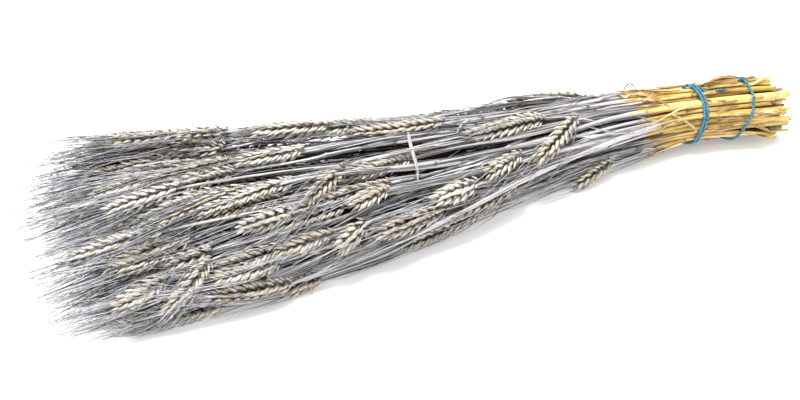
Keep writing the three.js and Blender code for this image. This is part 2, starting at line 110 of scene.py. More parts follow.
def read_stalk(node):
    """How a stalk of the solids lies: its ends and its ear's, its butt's radius, its middle at every stop."""
    corners, triangles = welded(node)
    butt, tip = corners[:, 0].max(), corners[:, 0].min()
    ear_tip = tip + AWNS_PAST_EAR
    known, middles, areas = [], [], []
    for x in STOPS[(STOPS < butt - MM) & (STOPS > tip + MM)]:
        found = outlines(corners, triangles, x)
        among_awns = len(found) > 3 and x > tip + AWNS_END
        if x > ear_tip or among_awns:
            known.append(x)
            middles.append(found[0][1] if x > ear_tip else np.mean([middle for _, middle in found], 0))
            areas.append(found[0][0] if x > ear_tip else 0)
    foot = next(known[k] for k in range(8, len(known)) if areas[k] > EAR_WIDENS * areas[k - 1]) + 5 * MM
    known, middles = np.array(known), np.array(middles)
    line = between(-STOPS, -known, middles)
    for past, end, inner in ((STOPS > known[0], 0, 4), (STOPS < known[-1], -1, -5)):
        slope = (middles[end] - middles[inner]) / (known[end] - known[inner])
        line[past] = middles[end] + slope * (STOPS[past, None] - known[end])
    return {
        "node": node, "butt": butt, "tip": tip, "foot": foot, "ear_tip": ear_tip,
        "line": line, "radius": math.sqrt(areas[0] / SIX_SIDED),
    }


stalks = [read_stalk(node) for node in sorted(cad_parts) if node.startswith("stalk")]
for stalk in stalks:
    stalk["line"] = evened(stalk["line"], 4)
    stalk["radius"] *= chance.uniform(0.58, 0.74)  # the solids' straws are a little stout, to hold together
    stalk["middle_radius"] = chance.uniform(1.2, 1.75) * MM
    stalk["top_radius"] = chance.uniform(1.0, 1.25) * MM
carried = len(stalks)

# The thinner stalks between them
# The bundle holds more stalks than its solids carry. These thinner ones start in the gaps between the
# others at the ties and fan out with them, and their ears fill the places that are still free.

THINNER_STALKS = 24
PLACES_TRIED, ENDS_TRIED = 300, 40
NECK_STOP = 7  # the stop between the two ties
FAN_FROM = 0.235  # where a stalk starts to leave its place in the neck
FARTHEST_TIP, TIPS_SPREAD = -0.344, 0.40
EAR_LENGTHS = (74, 88)  # in mm
THIN_BUTTS, THIN_MIDDLES, THIN_TOPS = (1.7, 2.3), (1.1, 1.5), (0.9, 1.15)  # the straws' radii in mm
BUTTS_DIFFER = 23  # in mm, how far short of the bundle's end a butt may lie
EARS_WISH_UP = 0.35  # the added ears are found on top, where the eye can see them


def stop_near(x):
    """The number of the stop nearest to x."""
    return int(np.abs(STOPS - x).argmin())


def outline_at(k):
    """The middle and the half width and height of the heap at a stop."""
    there = np.array([stalk["line"][k] for stalk in stalks if stalk["tip"] < STOPS[k]])
    low, high = there.min(0), there.max(0)
    return (low + high) / 2, (high - low) / 2


def widest_place(k, candidates):
    """The candidate that lies furthest from all the stalks at a stop."""
    taken = np.array([stalk["line"][k] for stalk in stalks])
    gaps = np.linalg.norm(candidates[:, None] - taken[None], axis=2).min(1)
    return candidates[gaps.argmax()]


def disc(count, reach=1.0, rim=0.0):
    """Points drawn evenly over a round section, or over the ring outside its rim."""
    angles = chance.uniform(0, 2 * math.pi, count)
    reaches = reach * np.sqrt(chance.uniform(rim**2, 1, count))
    return reaches[:, None] * np.c_[np.cos(angles), np.sin(angles)]


def fanned(ear_x, least=0.0):
    """How far a stalk has left its place in the neck at every stop, from 0 there to 1 at its ear."""
    share = np.clip((FAN_FROM - STOPS) / max(FAN_FROM - ear_x, least), 0, 1)
    return share * share * (3 - 2 * share)


for number in range(THINNER_STALKS):
    tip = FARTHEST_TIP + TIPS_SPREAD * ((number + 0.5) / THINNER_STALKS) ** 1.25
    ear_tip = tip + AWNS_PAST_EAR
    foot = ear_tip + chance.uniform(*EAR_LENGTHS) * MM
    at_ear = stop_near((foot + ear_tip) / 2)
    middle, half = outline_at(NECK_STOP)
    rim = 0.55 if number % 3 else 0.0  # two in three lie near the outside
    start = widest_place(NECK_STOP, middle + half * disc(PLACES_TRIED, 0.97, rim))
    heading = (start - middle) / half
    middle, half = outline_at(at_ear)
    wished = heading + disc(ENDS_TRIED, 0.8) + [0, EARS_WISH_UP]
    wished /= np.maximum(1, np.linalg.norm(wished, axis=1))[:, None]
    goal = (widest_place(at_ear, middle + half * wished) - middle) / half
    line = []
    for k, turn in enumerate(fanned(STOPS[at_ear])):
        middle, half = outline_at(min(k, at_ear + 6))
        line.append(middle + half * (heading * (1 - turn) + goal * turn))
    stalks.append({
        "node": None, "butt": HALF_LENGTH - chance.uniform(0, BUTTS_DIFFER) * MM, "tip": tip, "foot": foot,
        "ear_tip": ear_tip, "line": evened(np.array(line), 4), "radius": chance.uniform(*THIN_BUTTS) * MM,
        "middle_radius": chance.uniform(*THIN_MIDDLES) * MM, "top_radius": chance.uniform(*THIN_TOPS) * MM,
    })

# The stalks that lie on top
# These were laid on last, so they lie over the rest and partly out of line with it, and their ears show
# whole. One of them is a stout straw that runs along the near side and crosses the others.

VIEW_TURN, VIEW_RISE = math.radians(17.38), math.radians(40.38)
VIEW_DISTANCE, VIEW_LENS, VIEW_FILM = 1.14125, 60, 36
VIEW_WIDTH, VIEW_HEIGHT = 800, 400
VIEW_AIM = np.array([-31.0, -44.25, 30]) * MM
VIEW_AWAY = np.array([
    -math.sin(VIEW_TURN) * math.cos(VIEW_RISE), -math.cos(VIEW_TURN) * math.cos(VIEW_RISE),
    math.sin(VIEW_RISE),
])
VIEW_EYE = VIEW_AIM + VIEW_DISTANCE * VIEW_AWAY
VIEW_RIGHT = np.array([math.cos(VIEW_TURN), -math.sin(VIEW_TURN), 0])
VIEW_UP = np.cross(VIEW_RIGHT, -VIEW_AWAY)
VIEW_SPREAD = VIEW_WIDTH * VIEW_LENS / VIEW_FILM  # columns of the view for a thing as wide as it is far
HEAP_TOP, HEAP_SIDE, HEAP_TIP = 72.5 * MM, 111.5 * MM, 0.352
ABOVE_HEAP = 0.10
EAR_DEEP = 4.5 * MM  # from a laid ear's middle to the heap's skin
LEAST_HEIGHT = 4 * MM

# Each ear as it is seen from the front: its butt's and its straw's radius and how far it stands proud of
# the others in mm, then the columns and rows of its foot, of its middle where it is bent, and of its tip.
LAID_EARS = [
    (2.0, 1.3, 4, [(576, 117), (557, 140), (536, 163)]), (2.0, 1.1, 0, [(612, 161), (571, 188)]),
    (2.0, 1.2, 3, [(478, 184), (433, 201)]), (1.9, 1.2, 3, [(388, 188), (348, 207)]),
    (2.0, 1.3, 2, [(348, 164), (309, 200)]), (2.0, 1.3, 2, [(446, 208), (378, 235)]),
    (1.9, 1.2, 2, [(366, 222), (337, 251)]), (1.9, 1.0, 2, [(520, 153), (486, 177)]),
    (2.1, 1.3, 8, [(210, 257), (192, 285), (163, 322)]), (2.0, 1.2, 2, [(332, 234), (276, 253)]),
    (2.0, 1.2, 2, [(322, 277), (285, 291)]), (2.1, 1.2, 2, [(303, 147), (234, 160)]),
    (1.9, 1.2, 3, [(227, 160), (142, 184)]), (2.0, 1.3, 2, [(180, 187), (104, 214)]),
    (2.1, 1.3, 3, [(243, 186), (158, 222)]), (1.9, 1.2, 2, [(278, 181), (196, 214)]),
    (2.0, 1.2, 4, [(296, 211), (237, 229)]), (2.1, 1.3, 3, [(167, 230), (68, 260)]),
    (1.9, 1.2, 3, [(172, 256), (108, 272)]), (1.9, 1.2, 3, [(211, 250), (165, 268)]),
    (2.0, 1.2, 3, [(281, 262), (210, 281)]), (2.0, 1.3, 4, [(167, 279), (112, 312)]),
    (1.9, 1.2, 10, [(179, 135), (92, 143)]), (1.9, 1.2, 9, [(228, 132), (178, 136)]),
    (1.9, 1.2, 1, [(226, 149), (152, 154)]), (2.0, 1.2, 3, [(330, 126), (249, 132)]),
    (1.9, 1.2, 4, [(122, 172), (84, 181)]), (1.9, 1.2, 4, [(104, 203), (58, 216)]),
]
# The stout straw in the same way, with all its course. The foot of its ear is one of its last points.
STOUT_FOOT = 10
STOUT_STRAW = (2.0, 1.7, 8, [
    (666, 124), (627, 134), (600, 147), (564, 161), (532, 175), (500, 192), (460, 213), (420, 233),
    (375, 252), (330, 270), (298, 283), (250, 293), (202, 299),
])
# The short ears of the near side, right of this column, are short in their awns too.
SHORT_FROM, SHORT_AWNS, LONG_AWNS = 440, 30 * MM, 62 * MM


def stop_at(x):
    """The stop at x, counted on between two of them."""
    return np.clip(np.interp(-x, -STOPS, np.arange(len(STOPS))), 0, len(STOPS) - 1.001)


def stalks_at(x):
    """The middles of all the stalks at x and the rooms that they keep there."""
    k = stop_at(x)
    low = k.astype(int)
    return lines[:, low] + (k - low)[..., None] * (lines[:, low + 1] - lines[:, low]), rooms[:, low]


def gaps_to_heap(places, firmness):
    """How far each place is from the nearest stalk. A firmness below 1 lets it sink into their rooms."""
    there, held = stalks_at(places[:, 0])
    gaps = np.linalg.norm(there - places[None, :, 1:], axis=2)
    return (gaps - np.where(held > 0, held * firmness, -1)).min(0)


def down_sight(column, row, lowest, step):
    """A sight line of the view, and distances and places along it from above the heap to a lowest height."""
    ray = -VIEW_AWAY + (column - VIEW_WIDTH / 2) / VIEW_SPREAD * VIEW_RIGHT
    ray = ray - (row - VIEW_HEIGHT / 2) / VIEW_SPREAD * VIEW_UP
    far = np.arange((ABOVE_HEAP - VIEW_EYE[2]) / ray[2], (lowest - VIEW_EYE[2]) / ray[2], step)
    return ray, far, VIEW_EYE + far[:, None] * ray


def on_heap(column, row):
    """Where the sight line through a place in the view comes within an ear's depth of the heap or floor."""
    _, _, places = down_sight(column, row, EAR_DEEP, 1.5 * MM)
    near = np.flatnonzero(gaps_to_heap(places, 0.8) < EAR_DEEP)
    place = places[near[0]] if len(near) else places[-1]
    return np.minimum(place, [1, 1, HEAP_TOP - EAR_DEEP / 2])


def laid(points, foot, proud):
    """How a stalk lies on top: its way over the heap, where its ear starts and ends, and its awns' end."""
    spots = np.array(points)
    if len(spots) < 4:
        spots = between(np.arange(0, len(spots) - 0.5, 0.5), np.arange(len(spots)), spots)
    way = np.array([on_heap(*spot) for spot in spots])
    way += np.minimum(np.arange(len(way)), 2)[:, None] / 2 * proud * MM * VIEW_AWAY
    way[1:-1] = (way[:-2] + 2 * way[1:-1] + way[2:]) / 4
    beyond = way[-1] - way[-2]
    reach = LONG_AWNS if points[-1][0] < SHORT_FROM else SHORT_AWNS
    end = way[-1] + beyond / np.linalg.norm(beyond) * reach
    end = np.maximum(end, [-HEAP_TIP, -HEAP_SIDE, LEAST_HEIGHT])
    return {"guide": np.vstack([way, end]), "tip": end[0], "foot": way[foot, 0], "ear_tip": way[-1, 0]}


# How they settle
# The ears bow over, the laid stalks and the thinner ones push their way in, and all of them give way a
# little until they lie against each other, inside the twine and on the floor.

EAR_HOLDS = 5.6 * MM  # half the room that an ear keeps to itself
NECK_OUTER = 26.4 * MM
HELD_STOPS = 11  # from the butts to just past the upper tie
SHEATHS_END, SHEATHS_FADE, THIN_FROM = 0.24, 0.115, 0.125
SETTLING = 140
BOWS_NEAR, BOWS_DOWN = 19, 4  # how far an ear of the near side bows over, in mm
LONG_TIP, LONG_DIFFER, SHORT_DIFFER = -0.24, 7.0, 11.0  # the bows differ more where the awns end short
MOST_COLUMNS = 12  # of the view, that one round may draw in at most
BUTTS_SPLAY, SPLAY_FROM, SPLAY_OVER = 0.09, 0.255, 0.095
SPRING_FROM, SPRING_UP = 43 * MM, 3.2 * MM
PUSH, RETURN = 0.3, 0.04  # shares of a rubbing gap and of a shift that each round makes good
# The heap's far and near edges, seen from the front: columns, then the rows of each edge.
EDGE_AT = [60, 110, 170, 230, 290, 350, 410, 470, 530, 590, 610, 640]
FAR_EDGE = [118, 134, 133, 131, 125, 122, 116, 108, 97, 90, 88, 60]
NEAR_EDGE = [352, 334, 327, 312, 296, 273, 250, 226, 204, 184, 176, 190]


def straw_radius(stalk, x):
    """The straw's radius: even at the ties, where sheaths wrap it, thinner past them, thinnest at the ear."""
    bare = np.clip((SHEATHS_END - x) / SHEATHS_FADE, 0, 1)
    up = np.clip((THIN_FROM - x) / max(THIN_FROM - stalk["foot"], 0.01), 0, 1)
    thin = stalk["middle_radius"] + up * (stalk["top_radius"] - stalk["middle_radius"])
    return stalk["radius"] + bare * (thin - stalk["radius"])


def room(stalk):
    """Half the room that a stalk keeps to itself at every stop."""
    straw = straw_radius(stalk, STOPS)
    into_ear = np.clip((stalk["foot"] + 6 * MM - STOPS) / (14 * MM), 0, 1)
    past_ear = np.clip((stalk["ear_tip"] - STOPS) / AWNS_PAST_EAR, 0, 1)
    need = (straw + into_ear * (EAR_HOLDS - straw)) * (1 - 0.55 * past_ear)
    last = stalk["guide"][0, 0] if "guide" in stalk else stalk["tip"]
    return np.where((STOPS > stalk["butt"] + 5 * MM) | (STOPS < last), 0, need)


def bowing(stalk):
    """How strongly a stalk bows over at every stop: not in its straw, and more and more along its ear."""
    return np.clip((stalk["foot"] + 20 * MM - STOPS) / (150 * MM), 0, 1.3) ** 1.6


bows = []
for stalk in stalks:  # each ear bows over under its own weight, most of them towards the near side
    at_ear = stop_near(stalk["ear_tip"])
    middle, half = outline_at(min(at_ear, len(STOPS) - 8))
    front = np.clip(0.55 - (stalk["line"][at_ear, 0] - middle[0]) / half[0], 0, 1)
    aside = -BOWS_NEAR * front + chance.normal(0, LONG_DIFFER if stalk["tip"] < LONG_TIP else SHORT_DIFFER)
    bows.append(bowing(stalk)[:, None] * [aside * MM, (chance.normal(0.5, 3.0) - BOWS_DOWN * front) * MM])
for stalk, bow in zip(stalks, bows):
    stalk["line"] = stalk["line"] + bow

lines = np.array([stalk["line"] for stalk in stalks])
rooms = np.array([room(stalk) for stalk in stalks])
to_lay = [(0, ear) for ear in LAID_EARS] + [(STOUT_FOOT, STOUT_STRAW)]
for foot, (butt_radius, radius, proud, points) in to_lay:
    resting = laid(points, foot, proud)
    guide = resting["guide"]
    middle, half = outline_at(NECK_STOP)
    start = widest_place(NECK_STOP, middle + half * disc(PLACES_TRIED, 0.97, 0.6) * [1, 0.8])
    turn = fanned(guide[0, 0], 0.02)[:, None]
    shift = np.array([outline_at(k)[0] for k in range(len(STOPS))]) - middle
    line = (start + shift) * (1 - turn) + between(-STOPS, -guide[:, 0], guide[:, 1:]) * turn
    stalks.append({
        "node": None, "butt": HALF_LENGTH - chance.uniform(0, BUTTS_DIFFER) * MM, "line": evened(line, 3),
        "radius": butt_radius * MM, "middle_radius": radius * MM, "top_radius": radius * MM * 0.9,
        "seen": (points, foot, proud), **resting,
    })
stout_straw = stalks[-1]

lines = np.array([stalk["line"] for stalk in stalks])
rooms = np.array([room(stalk) for stalk in stalks])
homes = lines.copy()
loose = np.array([0.3 if stalk["node"] else 0.9 for stalk in stalks])


def seen(places):
    """The column and row at which places show from the front, and how many columns a metre takes up there."""
    out = places - VIEW_EYE
    scale = VIEW_SPREAD / (out @ -VIEW_AWAY)
    return VIEW_WIDTH / 2 + out @ VIEW_RIGHT * scale, VIEW_HEIGHT / 2 - out @ VIEW_UP * scale, scale


def drawn_in(lines):
    """Lowers what would stand out over the heap's far edge, and draws in what would pass its near edge."""
    along = np.broadcast_to(STOPS[None, :, None], lines.shape[:2] + (1,))
    column, row, scale = seen(np.concatenate([along, lines], 2))
    over = np.interp(column, EDGE_AT, FAR_EDGE) + rooms * scale - row
    under = row - np.interp(column, EDGE_AT, NEAR_EDGE) + rooms * scale
    lines = lines - np.clip(over, 0, MOST_COLUMNS)[..., None] / scale[..., None] * [0.45, 0.45]
    lines[..., 0] += np.clip(under, 0, MOST_COLUMNS) / scale * 0.6
    return lines


def tucked(corners):
    """Awns that would hang out past the heap's edges lie in against it, all but their ends."""
    column, row, scale = seen(corners)
    over = np.clip(np.interp(column, EDGE_AT, FAR_EDGE) - 3 - row, 0, None)
    under = np.clip(row - np.interp(column, EDGE_AT, NEAR_EDGE) - 3, 0, None)
    corners = corners - (0.8 * over / scale)[:, None] * [0, 0.65, 0.65]
    corners[:, 1] += 0.8 * under / scale * 1.3
    return corners


for _ in range(SETTLING):
    apart = lines[:, None] - lines[None]
    distance = np.linalg.norm(apart, axis=3) + 1e-9
    short = np.clip((rooms[:, None] + rooms[None]) - distance, 0, None)
    short[(rooms[:, None] == 0) | (rooms[None] == 0)] = 0
    short[np.arange(len(stalks)), np.arange(len(stalks))] = 0
    push = (apart / distance[..., None] * short[..., None]).sum(1) * PUSH
    moved = lines + push * loose[:, None, None] - homes
    moved = np.array([evened(m, 1) for m in moved]) * (1 - RETURN * (1 - loose))[:, None, None]
    lines = drawn_in(homes + moved)
    lines[..., 1] = np.maximum(lines[..., 1], rooms * 0.95)
    lines[..., 1] = np.minimum(lines[..., 1], HEAP_TOP - rooms)
    lines[..., 0] = np.clip(lines[..., 0], rooms - HEAP_SIDE, HEAP_SIDE - rooms)
    for k in range(HELD_STOPS):
        splay = 1 + BUTTS_SPLAY * max(0, (STOPS[k] - SPLAY_FROM) / SPLAY_OVER)
        bound = NECK_OUTER * splay - rooms[:, k]
        middle = lines[:carried, k].mean(0)
        out = lines[:, k] - middle
        length = np.linalg.norm(out, axis=1)
        lines[:, k] = middle + out * np.minimum(1, bound / np.maximum(length, 1e-6))[:, None]
for stalk, line in zip(stalks, lines):  # the topmost straws spring up a little past the upper tie
    line = evened(line, 3)
    high = np.clip((line[:, 1] - SPRING_FROM) / (9 * MM), 0, 1) * np.clip((STOPS - 0.266) / (22 * MM), 0, 1)
    stalk["line"] = line + np.c_[0 * high, SPRING_UP * high]
lines = np.array([stalk["line"] for stalk in stalks])
for order in range(carried + THINNER_STALKS, len(stalks)):  # each laid stalk comes to lie on the settled heap
    own_room = rooms[order].copy()
    rooms[order] = 0
    stalks[order].update(laid(*stalks[order]["seen"]))
    rooms[order] = own_room

# How far out the heap's skin lies at each stop, for the sides from which light and spray reach it, so
# that what lies deep in the heap gets less spray and is painted darker as painted shade.
SIDES_LIT = np.radians([-75, -35, 0, 35, 75])
BANDS = np.linspace(-120, 120, 61) * MM
FADES_AT = [-0.2, 0.03, 0.1, 0.2, 0.26]
FADES = [6.5 * MM, 7.5 * MM, 5 * MM, 4.5 * MM, 7 * MM]


def facing(angle):
    """The ways outwards and across, seen from one side of the bundle, in degrees round from straight up."""
    return np.array([math.sin(angle), math.cos(angle)]), np.array([math.cos(angle), -math.sin(angle)])


def skin_of_heap(angle):
    """The heap's outer skin seen from one side, at every stop and band across that side."""
    out, side = facing(angle)
    height, across = lines @ out + rooms * 0.5, lines @ side
    near = (np.abs(across[..., None] - BANDS) < rooms[..., None] + 1.5 * MM) & (rooms[..., None] > 0)
    return np.where(near, height[..., None], -1).max(0)


heap_skins = [skin_of_heap(angle) for angle in SIDES_LIT]


def lit(places):
    """How much light and spray reach each place: 1 at the heap's skin, down to 0 deep inside."""
    k = stop_at(places[:, 0])
    deep = np.full(len(places), 1.0)
    for angle, skin in zip(SIDES_LIT, heap_skins):
        out, side = facing(angle)
        band = np.clip(np.interp(places[:, 1:] @ side, BANDS, np.arange(len(BANDS))), 0, len(BANDS) - 1)
        low = skin[k.astype(int), np.round(band).astype(int)]
        high = skin[k.astype(int) + 1, np.round(band).astype(int)]
        deep = np.minimum(deep, low + (high - low) * (k % 1) - places[:, 1:] @ out)
    at_butts = np.clip((places[:, 0] - 0.31) / 0.03, 0, 1)
    return np.clip(1 - (deep - MM) / np.interp(places[:, 0], FADES_AT, FADES), 0.42 * at_butts, 1)


# The straws
# A ripe straw is a hollow tube, cut across at the butt, with a swollen joint every hand's width. Above each
# joint a dry leaf sheath wraps it, and ends in a step.

STRAW_SIDES, STRAW_RINGS = 10, 60
WALL = 0.3  # of the radius
JOINT_SWELLS, JOINT_HALF, SHEATH_ADDS = 0.42 * MM, 1.7 * MM, 0.22 * MM
RINGS_AT_JOINT, RINGS_AT_SHEATH_END = (-2.2, -1, 0, 1, 2.4), (-0.8, 0.8)  # mm from it
STOUT_TONE = 0.42
WAVES = ((0.8, 0.021), (1.9, 0.063))  # no straw is quite straight: height in mm, length in metres over a turn
BUTT_STOP = 3  # a stop near the butts
BROAD_ENDS = ((8, 50), (0, 53), (-8, 48), (14, 45))  # in mm


def deselect_everything():
    """Leaves nothing selected, so that a new shape is the only one that an operator changes."""
    if bpy.context.object and bpy.context.object.mode != "OBJECT":
        bpy.ops.object.mode_set(mode="OBJECT")
    bpy.ops.object.select_all(action="DESELECT")


def choose(shape, kind, test):
    """Selects the corners, edges or faces of the shape in edit mode that pass a test."""
    bpy.ops.mesh.select_mode(type={"verts": "VERT", "edges": "EDGE", "faces": "FACE"}[kind])
    bpy.ops.mesh.select_all(action="DESELECT")
    inside = bmesh.from_edit_mesh(shape.data)
    for item in getattr(inside, kind):
        if test(item):
            item.select_set(True)
    bmesh.update_edit_mesh(shape.data)


def runs_along(edge):
    """Whether an edge runs the shape's long way."""
    return abs(edge.verts[0].co.x - edge.verts[1].co.x) > 0.01


def rod(sides, rings, radius=1.0, end_radius=1.0):
    """A closed rod one unit long from the origin along +X, with evenly spaced rings, left in edit mode."""
    deselect_everything()
    bpy.ops.mesh.primitive_cone_add(
        vertices=sides, radius1=radius, radius2=end_radius, depth=1, location=(0.5, 0, 0),
        rotation=(0, math.pi / 2, 0),
    )
    shape = bpy.context.object
    bpy.ops.object.transform_apply(location=True, rotation=True, scale=True)
    bpy.ops.object.mode_set(mode="EDIT")
    choose(shape, "edges", runs_along)
    bpy.ops.mesh.subdivide(number_cuts=rings - 2)
    return shape


def resize_ring(shape, along, wide, thick):
    """Draws one ring of a rod in or out."""
    choose(shape, "verts", lambda v: abs(v.co.x - along) < 0.01)
    bpy.ops.transform.resize(value=(1, wide, thick), center_override=(along, 0, 0))


def measured(shape):
    """A finished shape as its corners, its faces' corner numbers in one run, and how many each face has."""
    deselect_everything()
    mesh = shape.data
    corners = np.empty(3 * len(mesh.vertices))
    mesh.vertices.foreach_get("co", corners)
    runs = np.empty(len(mesh.loops), dtype=np.int64)
    mesh.loops.foreach_get("vertex_index", runs)
    counts = np.array([face.loop_total for face in mesh.polygons])
    bpy.data.objects.remove(shape)
    bpy.data.meshes.remove(mesh)
    return corners.reshape(-1, 3), runs, counts


shape = rod(STRAW_SIDES, STRAW_RINGS)
choose(shape, "faces", lambda f: f.normal.x < -0.9 and f.calc_center_median().x < 0.001)
bpy.ops.mesh.inset(thickness=WALL)
bpy.ops.mesh.extrude_region_move(TRANSFORM_OT_translate={"value": (1.6 / (STRAW_RINGS - 1), 0, 0)})
straw_shape = measured(shape)


def distances(points):
    """How far along a run of points each one is."""
    return np.r_[0, np.cumsum(np.linalg.norm(np.diff(points, axis=0), axis=1))]


def unit(ways):
    """Ways made one long."""
    return ways / np.linalg.norm(ways, axis=1)[:, None]


class Way:
    """The way a stalk runs, by distance from its butt, with a frame of its own at each point."""

    def __init__(self, stalk):
        points = np.c_[STOPS, stalk["line"]]
        wave = chance.uniform(0, 2 * math.pi, 4)
        quiet = np.clip((0.25 - STOPS) / 0.08, 0, 1)
        for axis in (1, 2):
            for (height, length), phase in zip(WAVES, (wave[axis - 1], wave[axis + 1])):
                points[:, axis] += quiet * height * MM * np.sin(STOPS / length + phase)
        lifted = LEAST_HEIGHT * np.minimum(1, bowing(stalk) * 3) + 1.5 * MM
        points[:, 2] = np.maximum(points[:, 2], lifted)
        if "guide" in stalk:
            points = np.vstack([points[STOPS > stalk["guide"][0, 0] + 22 * MM], stalk["guide"]])
            apart = distances(points)
            points = evened(between(np.arange(0, apart[-1], 6 * MM), apart, points), 3)
        inner = points[points[:, 0] < stalk["butt"] - 2 * MM]
        first = inner[0] + (inner[0] - inner[1]) * (stalk["butt"] - inner[0, 0]) / (inner[0, 0] - inner[1, 0])
        last = inner[-1] + (inner[-1] - inner[-3]) * 2
        self.points = np.vstack([first, inner, last])
        self.along = distances(self.points)
        run = unit(np.gradient(self.points, self.along, axis=0))
        self.up = unit(np.array([0, 0, 1]) - run * run[:, 2:3])
        self.side = np.cross(self.up, run)

    def at(self, along):
        """Places along the way."""
        return between(along, self.along, self.points)

    def reached(self, x):
        """The distance along the way at which it passes x."""
        return np.interp(-x, -self.points[:, 0], self.along)

    def lay(self, along, aside, over):
        """Places given by distance along the way, to its side and over it."""
        side, up = between(along, self.along, self.side), between(along, self.along, self.up)
        return self.at(along) + aside[..., None] * side + over[..., None] * up


# One straw of the near side has sprung out of the lower tie and points away from the rest.
splayed = min(stalks[carried:carried + THINNER_STALKS], key=lambda s: s["line"][BUTT_STOP] @ [1.0, 0.35])
# Four straws of the top are trodden flat and broad at their butts.
broad_ends = [
    min(stalks, key=lambda s: np.linalg.norm(s["line"][BUTT_STOP] - np.array(spot) * MM) + (s is splayed))
    for spot in BROAD_ENDS
]


def straw_part(stalk, way):
    """The straw laid along its way, with its joints, sheaths and flattened butt."""
    corners, runs, counts = straw_shape
    aside, over = corners[:, 1], corners[:, 2]
    foot = way.reached(stalk["foot"])
    joints = np.cumsum(chance.uniform(70, 150, 4)) * MM + chance.uniform(-40, 30) * MM
    joints = joints[(joints > 25 * MM) & (joints < foot - 60 * MM)]
    ends = joints + chance.uniform(45, 95, len(joints)) * MM
    marks = [joint + step * MM for joint in joints for step in RINGS_AT_JOINT]
    marks += [end + step * MM for end in ends for step in RINGS_AT_SHEATH_END]
    marks = np.array([m for m in marks if 4 * MM < m < foot - 4 * MM])
    rings = np.sort(np.r_[np.linspace(0, foot + 3 * MM, STRAW_RINGS - len(marks)), marks])
    along = np.interp(corners[:, 0] * (STRAW_RINGS - 1), np.arange(STRAW_RINGS), rings)
    radius = straw_radius(stalk, way.at(along)[:, 0])
    for joint, end in zip(joints, ends):
        radius = radius + JOINT_SWELLS * np.exp(-(((along - joint) / JOINT_HALF) ** 2))
        radius = radius + SHEATH_ADDS * ((along > joint) & (along < end))
    crushed = chance.uniform(0.3, 0.5) if chance.random() < 0.35 else chance.uniform(0.0, 0.2)
    turn = chance.uniform(0, math.pi)
    if any(stalk is other for other in broad_ends):
        crushed, turn = 0.55, 0.0
        radius = radius * (1 + 0.3 * np.exp(-along / (60 * MM)))
    flat = crushed * np.exp(-along / (90 * MM)) + 0.08
    slant = chance.normal(0, 0.8, 2)
    at_end = np.clip(1 - along / (5 * MM), 0, 1)
    torn = 0.35 * np.sin(3 * np.arctan2(over, aside) + chance.uniform(0, 6))
    along = along + at_end * (aside * slant[0] + over * slant[1] + torn) * stalk["radius"]
    bend = chance.normal(0, 1.5, 2) * MM * np.exp(-along / (26 * MM))[:, None]
    if stalk is splayed:
        bend = bend + np.array([10, -4]) * MM * np.exp(-along / (22 * MM))[:, None]
    wide = (aside * math.cos(turn) + over * math.sin(turn)) * (1 + flat)
    thick = (over * math.cos(turn) - aside * math.sin(turn)) * (1 - flat)
    aside = wide * math.cos(turn) - thick * math.sin(turn)
    over = thick * math.cos(turn) + wide * math.sin(turn)
    places = way.lay(along, aside * radius + bend[:, 0], over * radius + bend[:, 1])
    tone = np.full(len(along), STOUT_TONE if stalk is stout_straw else chance.uniform(0.12, 0.92))
    for joint, end in zip(joints, ends):
        tone += chance.uniform(-0.2, 0.25) * ((along > joint) & (along < end))
        tone -= 0.5 * np.exp(-(((along - joint) / (2.2 * MM)) ** 2))
    # The inside of the hollow straw is painted darker, as painted shade.
    inner = np.hypot(corners[:, 1], corners[:, 2]) < 0.9
    tone[inner & (corners[:, 0] > 0.001)] -= 0.6
    return (places, runs, counts), "straw", tone, along / foot


# Shreds of sheath, no wider than a grass blade, have come loose along each straw. The ties press them flat.
SHREDS, SHRED_RINGS = 15, 11
TIES_PRESS = (0.259, 0.304)

shape = rod(4, SHRED_RINGS)
for along, wide in ((0.0, 0.4), (0.9, 0.7), (1.0, 0.15)):
    resize_ring(shape, along, wide, wide)
choose(shape, "verts", lambda v: True)
bpy.ops.transform.resize(value=(1, 1, 0.28), center_override=(0, 0, 0))
shred_shape = measured(shape)


def copies(shape, count):
    """The faces of many copies of a shape."""
    corners, runs, counts = shape
    shifts = len(corners) * np.arange(count)
    return (runs[None] + shifts[:, None]).ravel(), np.tile(counts, count)


def shreds_part(stalk, way):
    """The loose shreds along a straw, each held at its root and lifting a little further on."""
    corners = shred_shape[0]
    foot = way.reached(stalk["foot"])
    share = corners[None, :, 0] * np.ones((SHREDS, 1))
    root, length, angle, drift, lift, width = [values[:, None] for values in (
        chance.uniform(0.06, 0.8, SHREDS) * foot, chance.uniform(45, 150, SHREDS) * MM,
        chance.uniform(0, 2 * math.pi, SHREDS), chance.normal(0, 0.9, SHREDS),
        np.abs(chance.normal(0, 1.5, SHREDS)) * MM, chance.uniform(0.35, 1.0, SHREDS) * MM,
    )]
    along = root + share * np.minimum(length, foot - root)
    angle = angle + drift * share
    x = way.at(along)[..., 0]
    free = np.clip(np.minimum(*[np.abs(x - tie) for tie in TIES_PRESS]) / (22 * MM) - 0.2, 0, 1)
    out = straw_radius(stalk, x) * 1.02 + (lift * np.sin(2.2 * share) + 0.2 * MM) * free
    wide, thick = corners[None, :, 1] * width, corners[None, :, 2] * width
    aside = (out + thick) * np.cos(angle) + wide * np.sin(angle)
    over = (out + thick) * np.sin(angle) - wide * np.cos(angle)
    tone = chance.choice([0.0, 0.25, 0.6, 0.95], SHREDS) + chance.normal(0, 0.06, SHREDS)
    places = way.lay(along, aside, over).reshape(-1, 3)
    return (places, *copies(shred_shape, SHREDS)), "leaf", np.repeat(tone, len(corners)), share.ravel()


# The ears
# An ear of bearded wheat is two ranks of overlapping spikelets on a zigzag rachis. Each spikelet is a fan
# of chaffy scales, two glumes outside and three florets within, and each floret's tip runs out into an
# awn.

SPIKELET_STEP = 4.1 * MM
FEWEST_SPIKELETS, MOST_SPIKELETS = 8, 23
